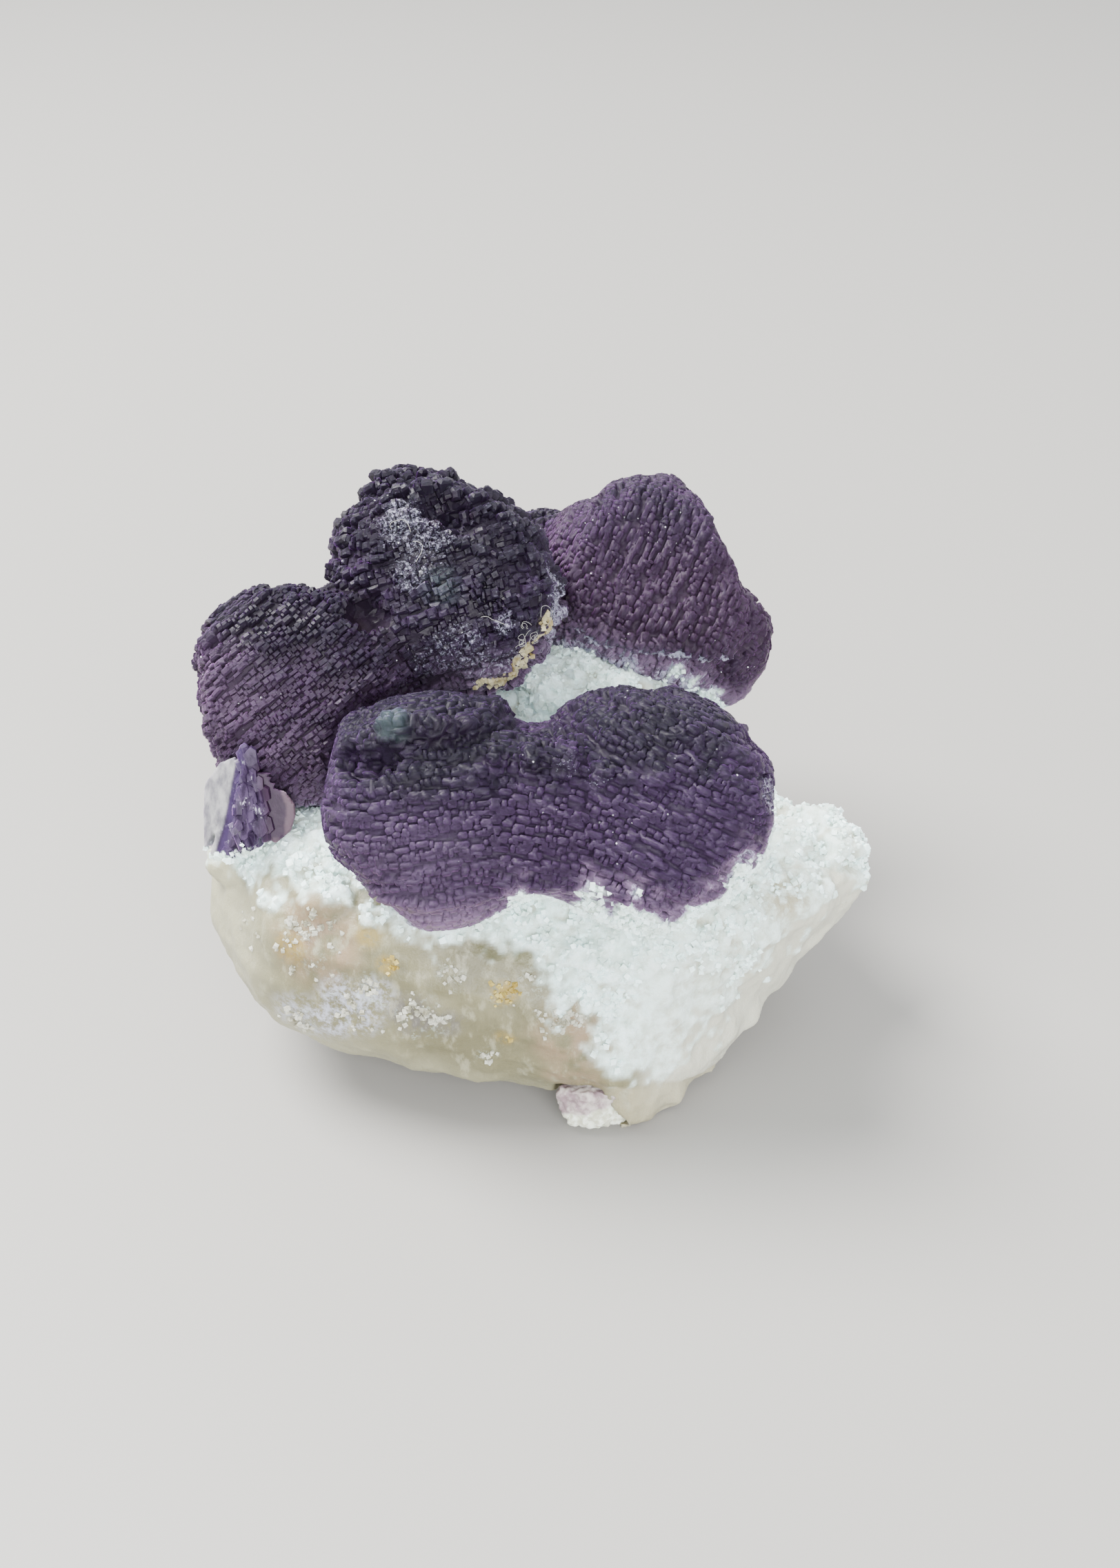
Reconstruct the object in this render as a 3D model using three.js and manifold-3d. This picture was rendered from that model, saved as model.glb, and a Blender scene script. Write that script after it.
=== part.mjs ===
// A fluorite specimen: purple balls of stepped fluorite that grew on a lump of white quartz.
// Millimetres, +Z up. The front of the specimen faces -Y and its widest ledge points to +X.
import * as THREE from "three";
import { ConvexGeometry } from "three/addons/geometries/ConvexGeometry.js";
import { mergeVertices } from "three/addons/utils/BufferGeometryUtils.js";
import { ImprovedNoise } from "three/addons/math/ImprovedNoise.js";
import Module from "manifold-3d";

const wasm = await Module();
wasm.setup();

// Driving dimensions
const GAP = 0.35; // left between two pieces that touch
const LEDGES_PER_MM = 1.2; // growth layers for each millimetre of a ball's radius
const CORNERS_PER_MM = 1.4; // half the corners round one layer, for each millimetre of radius
const BLOCK_RELIEF = 0.42; // how far one block of a layer stands out from the next
const SHINGLE = 0.16; // how much further out a layer is at its lower edge
const FACET_ROUNDING = 0.45; // radius at which two flats of a ball blend
const LEAN = THREE.MathUtils.degToRad(35); // lean of the plane in which the balls' flats are measured

const noise = new ImprovedNoise();

// A repeatable number from 0 to 1 for a set of whole numbers.
function chance(...keys) {
  let h = 2166136261;
  for (const key of keys) {
    h ^= (key + 1013) * 374761393;
    h = Math.imul(h ^ (h >>> 15), 2246822519);
  }
  h = Math.imul(h ^ (h >>> 13), 3266489917);
  return ((h ^ (h >>> 16)) >>> 0) / 4294967296;
}

// A direction given by its clock angle in the leaning plane, and by how far it turns out of it to the front.
function leaning(clockDegrees, frontDegrees = 0) {
  const clock = THREE.MathUtils.degToRad(clockDegrees);
  const front = THREE.MathUtils.degToRad(frontDegrees);
  const up = new THREE.Vector3(0, Math.sin(LEAN), Math.cos(LEAN));
  const out = new THREE.Vector3(0, -Math.cos(LEAN), Math.sin(LEAN));
  return new THREE.Vector3(1, 0, 0)
    .multiplyScalar(Math.cos(clock) * Math.cos(front))
    .addScaledVector(up, Math.sin(clock) * Math.cos(front))
    .addScaledVector(out, Math.sin(front));
}

// A closed three.js geometry as a manifold solid, and back again.
function solid(geometry) {
  const bare = geometry.clone();
  for (const name of ["normal", "uv"]) bare.deleteAttribute(name);
  const merged = mergeVertices(bare, 1e-4);
  return new wasm.Manifold(
    new wasm.Mesh({
      numProp: 3,
      vertProperties: new Float32Array(merged.attributes.position.array),
      triVerts: new Uint32Array(merged.index.array),
    }),
  );
}

function geometryOf(manifold) {
  const mesh = manifold.getMesh();
  const geometry = new THREE.BufferGeometry();
  geometry.setAttribute("position", new THREE.BufferAttribute(mesh.vertProperties, 3));
  geometry.setIndex(new THREE.BufferAttribute(mesh.triVerts, 1));
  const faceted = geometry.toNonIndexed();
  faceted.computeVertexNormals();
  return faceted;
}

// Balls: each is a sphere trimmed by flats, given as [clock, front, distance from the centre]
const frontLeftBall = {
  seed: 11,
  centre: new THREE.Vector3(-7.8, -9, 21.6),
  radius: 7.7,
  flats: [
    [175, 0, 6.4], [228, 0, 5.6], [93, 0, 7.0], [140, 20, 7.3], [285, 0, 7.5], [20, 90, 6.9], [90, -70, 6.6],
  ],
  axis: leaning(97, 12),
};

const frontRightBall = {
  seed: 23,
  centre: new THREE.Vector3(5.5, -8.4, 21.4),
  radius: 8.1,
  flats: [
    [88, 0, 7.0], [45, 10, 7.2], [-2, 0, 7.6], [-52, 0, 7.1], [250, 0, 7.7], [0, 90, 7.2], [90, -70, 6.8],
  ],
  axis: leaning(62, 10),
};

// The saddle where the two front balls have grown into each other.
const frontSaddle = {
  seed: 29,
  centre: new THREE.Vector3(-1.3, -8.7, 20.9),
  radius: 7.6,
  flats: [[92, 0, 5.0], [268, 0, 4.6], [0, 90, 7.0], [90, -80, 6.0]],
  axis: leaning(75, 12),
};

const leftBall = {
  seed: 37,
  centre: new THREE.Vector3(-16.7, 2.6, 22.3),
  radius: 8.4,
  flats: [
    [181, 0, 6.8], [193, 0, 6.4], [92, 0, 6.9], [137, 0, 8.1], [45, 0, 7.4], [0, 0, 7.2], [10, 90, 7.0],
    [265, 0, 7.3], [90, -80, 6.8],
  ],
  axis: leaning(128, 8),
};

const centreBall = {
  seed: 41,
  centre: new THREE.Vector3(-7.5, 8.6, 27.5),
  radius: 8.5,
  flats: [
    [67, 0, 6.1], [31, 0, 6.6], [-34, 0, 7.5], [-5, 0, 8.1], [165, 0, 7.8], [112, 0, 7.3], [0, 88, 7.4],
    [270, 0, 7.8], [90, -80, 7.2],
  ],
  axis: leaning(108, 10),
};

// The small head on the centre ball's upper left.
const centreHead = {
  seed: 47,
  centre: new THREE.Vector3(-10.4, 9.2, 32.6),
  radius: 3.1,
  flats: [[90, 0, 2.7], [180, 0, 2.7], [0, 0, 2.7], [0, 90, 2.7]],
  axis: leaning(108, 10),
};

const rightBall = {
  seed: 59,
  centre: new THREE.Vector3(6.4, 16.6, 22.6),
  radius: 8.9,
  flats: [
    [119, 0, 7.9], [25, 0, 5.6], [75, 0, 8.2], [180, 0, 7.4], [0, 90, 7.3], [270, 0, 7.8], [90, -80, 7.0],
  ],
  axis: leaning(152, 12),
};

const rightLowBall = {
  seed: 61,
  centre: new THREE.Vector3(12.0, 14.2, 19.4),
  radius: 3.9,
  flats: [[0, 0, 3.3], [20, 90, 3.4], [-60, 0, 3.4]],
  axis: leaning(120, 10),
};

// Where the right ball runs down into the quartz.
const rightFoot = {
  seed: 67,
  centre: new THREE.Vector3(11.7, 12.9, 17.6),
  radius: 2.9,
  flats: [[0, 0, 2.4], [270, 0, 2.4], [20, 90, 2.6]],
  axis: leaning(110, 10),
};

const backBall = {
  seed: 71,
  centre: new THREE.Vector3(-1.2, 21.0, 23.0),
  radius: 4.2,
  flats: [[90, 0, 3.6], [180, 0, 3.8], [0, -80, 3.6]],
  axis: leaning(100, 0),
};

// Distance from a ball's centre to its smooth form in a direction.
function reach(ball, direction) {
  let sum = Math.exp(-ball.radius / FACET_ROUNDING);
  for (const [clock, front, distance] of ball.flats) {
    const along = leaning(clock, front).dot(direction);
    if (along > 0.15) sum += Math.exp(-distance / along / FACET_ROUNDING);
  }
  return -FACET_ROUNDING * Math.log(sum);
}

// 1 on the part of a ball that shows, falling to 0 underneath, where it is bedded in the quartz.
function exposed(direction) {
  return THREE.MathUtils.smoothstep(direction.z, -0.7, -0.35);
}

// A ball as a stack of growth layers, each a ring of blocks that stand out by different amounts.
function terracedBall(ball) {
  const ledges = Math.round(ball.radius * LEDGES_PER_MM);
  const columns = 2 * Math.round(ball.radius * CORNERS_PER_MM);
  const geometry = new THREE.SphereGeometry(1, columns, 2 * ledges + 1);
  const position = geometry.attributes.position;
  const turn = new THREE.Quaternion().setFromUnitVectors(new THREE.Vector3(0, 1, 0), ball.axis);
  const edges = [];
  for (let k = 0; k <= ledges; k++) {
    const shift = k % ledges === 0 ? 0 : 0.5 * (chance(ball.seed, k) - 0.5);
    edges.push(1 - (2 * (k + shift)) / ledges);
  }
  const at = (cosine, column) => {
    const sine = Math.sqrt(Math.max(0, 1 - cosine * cosine));
    const turnRound = (2 * Math.PI * column) / columns;
    return new THREE.Vector3(-Math.cos(turnRound) * sine, cosine, Math.sin(turnRound) * sine);
  };
  for (let i = 0; i < position.count; i++) {
    const ring = Math.floor(i / (columns + 1));
    if (ring === 0 || ring === 2 * ledges + 1) {
      const pole = new THREE.Vector3(0, ring === 0 ? 1 : -1, 0);
      const height = reach(ball, pole.clone().applyQuaternion(turn));
      position.setXYZ(i, 0, pole.y * height, 0);
      continue;
    }
    const column = (i % (columns + 1)) % columns;
    const layer = Math.ceil(ring / 2) - 1;
    const lower = ring % 2 === 0;
    const edge = at(edges[lower ? layer + 1 : layer], column);
    const middle = at((edges[layer] + edges[layer + 1]) / 2, column);
    const edgeReach = reach(ball, edge.clone().applyQuaternion(turn));
    const middleWorld = middle.clone().applyQuaternion(turn);
    const middleReach = reach(ball, middleWorld);
    const block = Math.floor(((column + layer) % columns) / 2);
    const showing = exposed(middleWorld);
    const jut = showing * BLOCK_RELIEF * (chance(ball.seed, layer, block) - 0.6);
    const shingle = showing * (lower ? SHINGLE : -SHINGLE);
    const besidePole = Math.abs(edge.y) > 0.999;
    const stepped = middle.clone().setY(0).normalize();
    stepped.multiplyScalar(Math.hypot(middle.x, middle.z) * middleReach + jut + shingle);
    stepped.y = besidePole ? (edge.y + middle.y) * 0.5 * edgeReach : edge.y * edgeReach;
    const smooth = besidePole ? stepped.clone() : edge.clone().multiplyScalar(edgeReach);
    smooth.lerp(stepped, Math.max(showing, 0.25));
    position.setXYZ(i, smooth.x, smooth.y, smooth.z);
  }
  geometry.applyQuaternion(turn);
  geometry.translate(ball.centre.x, ball.centre.y, ball.centre.z);
  return solid(geometry);
}

// The hollow that a piece leaves where it is bedded: the piece without its steps, grown by the gap.
function bed(manifold, centre, radius) {
  const { vertProperties } = manifold.getMesh();
  const corners = [];
  for (let i = 0; i < vertProperties.length; i += 3) {
    corners.push(new THREE.Vector3(...vertProperties.slice(i, i + 3)).sub(centre));
  }
  const geometry = new ConvexGeometry(corners);
  const growth = 1 + GAP / radius;
  geometry.scale(growth, growth, growth);
  geometry.translate(centre.x, centre.y, centre.z);
  return solid(geometry);
}

// Quartz lump: four outlines from the foot to the crown, each starting at the front and going anticlockwise.
const QUARTZ_OUTLINES = [
  [[4.4, -14.9, -0.2], [8.2, -12.2, 0.2], [11.6, -7.6, 1.8], [15.2, -3, 4.2], [13.6, 4, 1.6], [11, 11, -0.6],
    [3, 15.5, -0.8], [-7.5, 13, -0.8], [-15, 6.5, 0.8], [-18.6, -3.4, 3.6], [-15.4, -9.8, 3.2],
    [-6, -12.8, 2.6], [-0.4, -13, 1.8]],
  [[4.2, -15.3, 4.4], [9, -12, 5], [14, -7.4, 7], [19.6, -2.4, 8], [18, 3.6, 7], [14.2, 12, 5],
    [4, 19, 8], [-9, 16.5, 8], [-19.4, 8, 8.5], [-23, -3.6, 9.5], [-19.2, -11.2, 8], [-9, -14.8, 8],
    [-1.8, -15.2, 6.2]],
  [[-0.4, -13.9, 13.2], [7.6, -12.2, 13.6], [15.4, -7, 12.4], [20.8, -1.2, 12.4], [17.6, 1.2, 13.8],
    [14.4, 8.8, 8.4], [5, 18.5, 15], [-9, 15.5, 17.6], [-19, 7.6, 16.6], [-22.8, -3, 13],
    [-18.6, -9.8, 14.8], [-9.8, -13.6, 15], [-5, -14, 13.8]],
  [[0.4, -8.6, 16.4], [7, -7.6, 16.2], [12.4, -4.6, 14.8], [15, -1, 12.8], [13.2, 1.2, 13.8],
    [9.6, 6.6, 18.2], [2.4, 9.6, 21.4], [-5, 10, 20.4], [-12, 5.4, 19.4], [-16.5, -1.6, 17.6],
    [-13.4, -6.2, 18.6], [-6, -8.4, 17.2], [-3, -8.8, 16.6]],
];
const QUARTZ_TOP = new THREE.Vector3(-1, 1, 19.6);
const QUARTZ_FOOT = new THREE.Vector3(-1, 2, -0.8);
const QUARTZ_HEART = new THREE.Vector3(-1, 1, 9);
const QUARTZ_COLUMNS = 52;
const QUARTZ_ROWS = 15;
const SUGARY_RELIEF = 0.55; // lumps of the sugary upper quartz
const SMOOTH_RELIEF = 0.22; // dips of the broken lower face

// 1 on the sugary upper quartz, 0 on the smooth broken face at the front left and underneath.
function sugary(point) {
  const rightOfRidge = THREE.MathUtils.smoothstep(point.x + 0.35 * (point.z - 8), 0, 6);
  const aboveBreak = THREE.MathUtils.smoothstep(point.z - 0.12 * point.x, 13, 16);
  return Math.max(rightOfRidge, aboveBreak, THREE.MathUtils.smoothstep(point.y, -2, 4));
}

function quartzLump() {
  const rings = QUARTZ_OUTLINES.map((outline) => {
    const stops = outline.map((stop) => new THREE.Vector3(...stop));
    const curve = new THREE.CatmullRomCurve3(stops, true, "centripetal");
    return Array.from({ length: QUARTZ_COLUMNS }, (_, i) => curve.getPoint(i / QUARTZ_COLUMNS));
  });
  const meridians = Array.from({ length: QUARTZ_COLUMNS }, (_, i) => {
    const stops = [QUARTZ_FOOT, ...rings.map((ring) => ring[i]), QUARTZ_TOP];
    return new THREE.CatmullRomCurve3(stops, false, "centripetal");
  });
  const geometry = new THREE.SphereGeometry(1, QUARTZ_COLUMNS, QUARTZ_ROWS);
  const position = geometry.attributes.position;
  for (let i = 0; i < position.count; i++) {
    const row = Math.floor(i / (QUARTZ_COLUMNS + 1));
    const column = (i % (QUARTZ_COLUMNS + 1)) % QUARTZ_COLUMNS;
    const point = meridians[column].getPoint(1 - row / QUARTZ_ROWS);
    const outward = point.clone().sub(QUARTZ_HEART).normalize();
    const lumps = noise.noise(point.x * 0.42, point.y * 0.42, point.z * 0.42)
      + 0.5 * noise.noise(point.x * 0.95 + 7, point.y * 0.95, point.z * 0.95);
    const relief = THREE.MathUtils.lerp(SMOOTH_RELIEF, SUGARY_RELIEF, sugary(point));
    if (row > 0 && row < QUARTZ_ROWS) point.addScaledVector(outward, lumps * relief * 1.6);
    position.setXYZ(i, point.x, point.y, point.z);
  }
  return solid(geometry);
}

// Sugary quartz in raised lumps: x, y, z and radius of each.
const CRUST_LUMPS = [
  [-17.4, -6, 15.4, 1.9], [-15.4, -7.8, 16.6, 2.0], [-14.2, -10.2, 15.6, 2.1], [-11.4, -11.3, 15.2, 1.8],
  [-21, -5, 14.2, 1.9], [-4.7, -12.2, 13.2, 1.9], [1.2, -12.2, 13, 2.0], [8, -10.6, 13.6, 1.9],
  [15.2, -1.8, 13.6, 2.0], [17.4, 0.1, 13.6, 1.8], [18.9, -1.5, 13, 1.8], [15, -4.8, 12.3, 2.1],
  [12.6, -7.6, 10.9, 1.9], [-0.6, 5, 21, 1.9], [2.2, 4, 20.6, 1.9],
];
const CRUST_FLATNESS = 0.7; // height of a crust lump over its radius

function crustLump([x, y, z, radius]) {
  const geometry = new THREE.IcosahedronGeometry(radius, 1);
  const position = geometry.attributes.position;
  for (let i = 0; i < position.count; i++) {
    const [a, b, c] = [position.getX(i), position.getY(i), position.getZ(i)];
    const rough = 1 + 0.35 * noise.noise(a * 1.3 + x, b * 1.3 + y, c * 1.3 + z);
    position.setXYZ(i, a * rough + x, b * rough + y, c * rough * CRUST_FLATNESS + z);
  }
  return solid(geometry);
}

// Flat fractures round the back and the right, where the lump broke off the rock: the way each one
// faces, and its distance from the heart of the lump.
const FRACTURES = [
  [-0.45, 0.88, 0.15, 15.9],
  [0.3, 0.95, -0.1, 17.4],
  [-0.85, 0.5, -0.2, 18],
  [0.85, 0.45, -0.25, 17.3],
];

function beyond([x, y, z, distance]) {
  const facing = new THREE.Vector3(x, y, z).normalize();
  const geometry = new THREE.BoxGeometry(60, 60, 20).translate(0, 0, 10 + distance);
  geometry.applyQuaternion(new THREE.Quaternion().setFromUnitVectors(new THREE.Vector3(0, 0, 1), facing));
  return solid(geometry.translate(QUARTZ_HEART.x, QUARTZ_HEART.y, QUARTZ_HEART.z));
}

// The table that the specimen stands on takes off whatever is below it, which leaves flat rests.
const below = new THREE.BoxGeometry(120, 120, 20).translate(0, 0, -10);

function largestPart(manifold) {
  return manifold.decompose().sort((a, b) => b.volume() - a.volume())[0];
}

// Broken fluorite at the left: cleavage plates that lean on the left ball, one beside the other. For each
// one, its outline across and up, how far its face stands out, its thickness and its turn to the left.
const PLATES_CENTRE = new THREE.Vector3(-19.7, -6.5, 19.9);
const PLATES_LEAN = THREE.MathUtils.degToRad(22);
const PLATES_HEART = new THREE.Vector3(-19.7, -5.2, 19.4);
const PLATES_RADIUS = 2.4;
const PLATE_EDGE = 0.25;
const PLATES = [
  {
    outline: [[-2.3, -3.7], [-1.3, -1.2], [-0.3, 2.7], [-0.8, 3.2], [-1.9, 2.5], [-2.9, 0.8], [-2.8, -0.6]],
    face: 0.2,
    depth: 2.8,
    turn: 0.45,
  },
  {
    outline: [[-2.2, -3.8], [-0.5, -3.6], [0.1, -2.2], [0.6, -0.2], [0.7, 2.4], [0.2, 3.6], [-0.5, 2.8]],
    face: 0,
    depth: 2.8,
    turn: 0.3,
  },
  {
    outline: [[-0.6, -1.7], [0.1, -3.1], [1.1, -2.4], [1.6, -1], [1.7, 0.1], [1.1, 1.9], [0.8, 3.4], [0, 4]],
    face: 0.3,
    depth: 3,
    turn: 0.1,
  },
  {
    outline: [[0.9, -2], [1.8, -2.6], [2.9, -1.8], [3.3, -0.8], [3.3, 0], [2.5, 1.5], [2, 2.3], [0.9, 2.3]],
    face: 0.5,
    depth: 3,
    turn: -0.15,
  },
];

function brokenPlates() {
  const plates = PLATES.map(({ outline, face, depth, turn }) => {
    const shape = new THREE.Shape(outline.map(([x, y]) => new THREE.Vector2(x, y)));
    const edge = { bevelEnabled: true, bevelSize: 0, bevelThickness: PLATE_EDGE, bevelSegments: 1 };
    const plate = new THREE.ExtrudeGeometry(shape, { depth, ...edge, bevelOffset: -PLATE_EDGE / 2 });
    plate.translate(0, 0, face - depth);
    plate.rotateX(Math.PI / 2 - PLATES_LEAN);
    plate.rotateZ(-turn);
    plate.translate(PLATES_CENTRE.x, PLATES_CENTRE.y, PLATES_CENTRE.z);
    return solid(plate);
  });
  return plates.reduce((whole, plate) => whole.add(plate));
}

// A pale, angular chip of fluorite held in the quartz at the foot of the specimen: its corners, from
// its middle.
const CHIP_CENTRE = new THREE.Vector3(2.3, -13.6, 1.6);
const CHIP_RADIUS = 1.9;
const CHIP_CORNERS = [
  [-2.4, -1, 1.5],
  [-0.8, -1.6, 2],
  [1.2, -1.4, 1.7],
  [2.3, -0.9, 0.9],
  [-2.5, -0.9, 0.4],
  [-1.6, -1.7, -0.7],
  [0.2, -1.9, -1],
  [1.5, -1.5, -0.9],
  [2.2, -0.4, -1],
  [-1.2, -0.5, -1.6],
  [1.2, 0.2, -1.6],
  [-2, 1.5, 0.5],
  [2, 1.6, 0.6],
  [0, 1.5, 1.9],
];

function baseChip() {
  const corners = CHIP_CORNERS.map(([x, y, z]) => new THREE.Vector3(x, y, z).add(CHIP_CENTRE));
  return solid(new ConvexGeometry(corners)).subtract(solid(below));
}

// Materials
const surfaces = {
  quartz: { color: 0xe9ece6, roughness: 0.6 },
  fluorite: { color: 0x43334f, roughness: 0.42 },
  brokenFluorite: { color: 0x8d7aa3, roughness: 0.3 },
  paleFluorite: { color: 0xc9bfc8, roughness: 0.4 },
};

function piece(name, manifold, surface) {
  const material = new THREE.MeshStandardMaterial({ ...surfaces[surface], metalness: 0, flatShading: true });
  const mesh = new THREE.Mesh(geometryOf(manifold), material);
  mesh.name = name;
  return mesh;
}

// Assembly
const clusters = {
  fluorite_front_pair: [frontLeftBall, frontSaddle, frontRightBall],
  fluorite_left_cluster: [leftBall, centreBall, centreHead],
  fluorite_right_cluster: [rightBall, rightLowBall, rightFoot, backBall],
};
const ballBeds = [];
const intergrown = {};
for (const [name, balls] of Object.entries(clusters)) {
  const solids = balls.map(terracedBall);
  const whole = solids.reduce((sum, next) => sum.add(next));
  // Where two clusters meet, the one that grew later keeps clear of the earlier one.
  intergrown[name] = largestPart(ballBeds.reduce((rest, hollow) => rest.subtract(hollow), whole));
  balls.forEach((ball, i) => ballBeds.push(bed(solids[i], ball.centre, ball.radius)));
}

const plates = brokenPlates();
const broken = largestPart(ballBeds.reduce((rest, hollow) => rest.subtract(hollow), plates));
const chip = baseChip();
const beds = [...ballBeds, bed(plates, PLATES_HEART, PLATES_RADIUS), bed(chip, CHIP_CENTRE, CHIP_RADIUS)];
const crusted = CRUST_LUMPS.map(crustLump).reduce((sum, lump) => sum.add(lump), quartzLump());
const taken = [solid(below), ...FRACTURES.map(beyond), ...beds];
const matrix = largestPart(taken.reduce((rest, cut) => rest.subtract(cut), crusted));

const specimen = new THREE.Group();
specimen.add(
  piece("quartz_matrix", matrix, "quartz"),
  ...Object.entries(intergrown).map(([name, manifold]) => piece(name, manifold, "fluorite")),
  piece("fluorite_broken_crystal", broken, "brokenFluorite"),
  piece("fluorite_base_chip", chip, "paleFluorite"),
);

// The origin is at the middle of the specimen's footprint, on the table.
const extent = new THREE.Box3().setFromObject(specimen);
const middle = extent.getCenter(new THREE.Vector3());
specimen.position.set(-middle.x, -middle.y, -extent.min.z);

export default specimen;
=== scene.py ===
"""A fluorite specimen: stepped purple fluorite balls that grew on a lump of white quartz."""

import math
import random

import bmesh
import bpy
import numpy as np
from mathutils import Matrix, Vector, noise
from mathutils.bvhtree import BVHTree
from mathutils.kdtree import KDTree


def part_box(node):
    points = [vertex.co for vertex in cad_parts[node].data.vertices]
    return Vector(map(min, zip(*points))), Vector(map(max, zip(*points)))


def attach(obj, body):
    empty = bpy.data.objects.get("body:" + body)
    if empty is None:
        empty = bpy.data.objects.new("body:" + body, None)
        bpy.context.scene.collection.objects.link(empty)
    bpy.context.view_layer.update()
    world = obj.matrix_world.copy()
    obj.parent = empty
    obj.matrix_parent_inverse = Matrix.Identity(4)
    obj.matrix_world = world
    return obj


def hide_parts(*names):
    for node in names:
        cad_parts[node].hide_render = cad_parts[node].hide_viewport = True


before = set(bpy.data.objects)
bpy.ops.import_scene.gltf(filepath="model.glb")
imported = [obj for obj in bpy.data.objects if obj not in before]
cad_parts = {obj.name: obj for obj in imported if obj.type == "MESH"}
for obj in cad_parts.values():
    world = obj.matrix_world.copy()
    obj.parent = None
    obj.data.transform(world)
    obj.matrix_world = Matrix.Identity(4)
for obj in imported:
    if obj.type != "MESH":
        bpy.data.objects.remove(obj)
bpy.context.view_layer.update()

# Fluorite balls: three clusters of intergrown balls, dark purple, each ball built of rows of small
# blocky steps that run round its own axis. They are bedded in the quartz, which creeps up their feet.
MM = 0.001
FRONT_PAIR_CORNER = Vector((-14.402, -17.081, 13.168))  # its lowest corner, in the measure used below
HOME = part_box("fluorite_front_pair")[0] - FRONT_PAIR_CORNER * MM
LEAN = math.radians(35)
CORE_VOXEL = 0.5 * MM
CORE_SMOOTHING = 16
CORE_INSET = 0.3 * MM
ROW_HEIGHT = 0.38 * MM
LEDGE_WIDTH = 0.4 * MM
WORN_WIDTH = 0.52 * MM
WORN_BELOW = 0.45  # balls less rough than this have worn steps
LEDGE_DEPTH = 0.8 * MM
PROUD_SPREAD = 0.1 * MM
TERRACE = (2.6 * MM, 1.1 * MM)  # how long and how high the patches are that stand out together
TERRACE_RISE = 0.8
BLEND = 1.0 * MM  # how softly the rows of one ball turn into those of the next
CLEAR = 0.45 * MM  # steps nearer than this to the quartz are left out
TERRACE_STEP = 0.13
DEEPEST = 0.15 * MM  # no step lies deeper than this
STEPPING = 0.28  # how far each step turns to the nearer of the ball's axis and its waist
LEAN_SPREAD = math.radians(10)
TWIST = math.radians(12)
MISSING_SHARE = 0.06
WIDTH_SPREAD = 0.45
OVERLAP = 1.18  # how much larger a step is than its place
SMOOTH_BELOW = 0.35  # steps of balls less rough than this overlap more
OUTSIDE = 1.7  # how far out a ray at a ball starts, in radii
STEEPEST = 0.3  # the least cosine between a ray and the surface that it meets
OFF_BALL = 0.15  # how far from its ball a step may sit, in radii
BORDER = 0.12 * MM  # how far past the border to the next ball it may sit
MOST_TRIANGLES = 185000  # a solid with more is thinned to this
QUARTZ_REACH = 5 * MM  # how far from the quartz its nearness still counts
TINT_BLEND = 0.7  # how softly the tint of one ball turns into that of the next, in millimetres
IN_BLOCK = 0.25  # how far under a face its own block is looked for, in millimetres
BARE = 0.75  # the share of a hollow's radius within which it has no steps


def leaning(clock, front=0.0):
    """A direction by its clock angle in a plane that leans back, and by its turn out of it to the front."""
    clock, front = math.radians(clock), math.radians(front)
    up = Vector((0, math.sin(LEAN), math.cos(LEAN)))
    out = Vector((0, -math.cos(LEAN), math.sin(LEAN)))
    across = Vector((1, 0, 0)) * math.cos(clock) + up * math.sin(clock)
    return across * math.cos(front) + out * math.sin(front)


def place(x, y, z):
    """A place in the frame, from millimetres in the balls' measure."""
    return HOME + Vector((x, y, z)) * MM


class Ball:
    """One ball: its centre and radius, the axis that its rows run round, and what is its own.

    slate and wine are its tints, rough is how much its steps stand out, row is how high they are.
    """

    def __init__(self, centre, radius, axis, slate, wine, rough, row=1.0):
        self.centre = place(*centre)
        self.radius = radius * MM
        self.axis = leaning(*axis).normalized()
        self.slate, self.wine, self.rough = slate, wine, rough
        self.row = ROW_HEIGHT * row


CLUSTERS = {
    "fluorite_front_pair": [
        Ball((-7.8, -9, 21.6), 7.7, (97, 12), 0.3, 0.15, 0.22, 0.95),
        Ball((-1.3, -8.7, 20.9), 7.6, (75, 12), 0.05, 0.3, 0.22, 0.95),
        Ball((5.5, -8.4, 21.4), 8.1, (62, 10), 0.1, 0.2, 0.26, 0.95),
    ],
    "fluorite_left_cluster": [
        Ball((-16.7, 2.6, 22.3), 8.4, (128, 8), 0.3, 0.6, 0.55, 0.82),
        Ball((-7.5, 8.6, 27.5), 8.5, (108, 10), 0.65, 0.15, 1.1, 1.15),
        Ball((-10.4, 9.2, 32.6), 3.1, (108, 10), 0.7, 0.3, 1.2, 1.15),
    ],
    "fluorite_right_cluster": [
        Ball((6.4, 16.6, 22.6), 8.9, (152, 12), 0.0, 0.8, 0.16, 0.9),
        Ball((12.0, 14.2, 19.4), 3.9, (120, 10), 0.05, 0.8, 0.12, 0.85),
        Ball((11.7, 12.9, 17.6), 2.9, (110, 10), 0.0, 0.7, 0.2, 0.85),
        Ball((-1.2, 21.0, 23.0), 4.2, (100, 0), 0.4, 0.5, 0.6),
    ],
}
WORN_SOFT = ("fluorite_front_pair", "fluorite_right_cluster")  # whose steps are worn round
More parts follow.
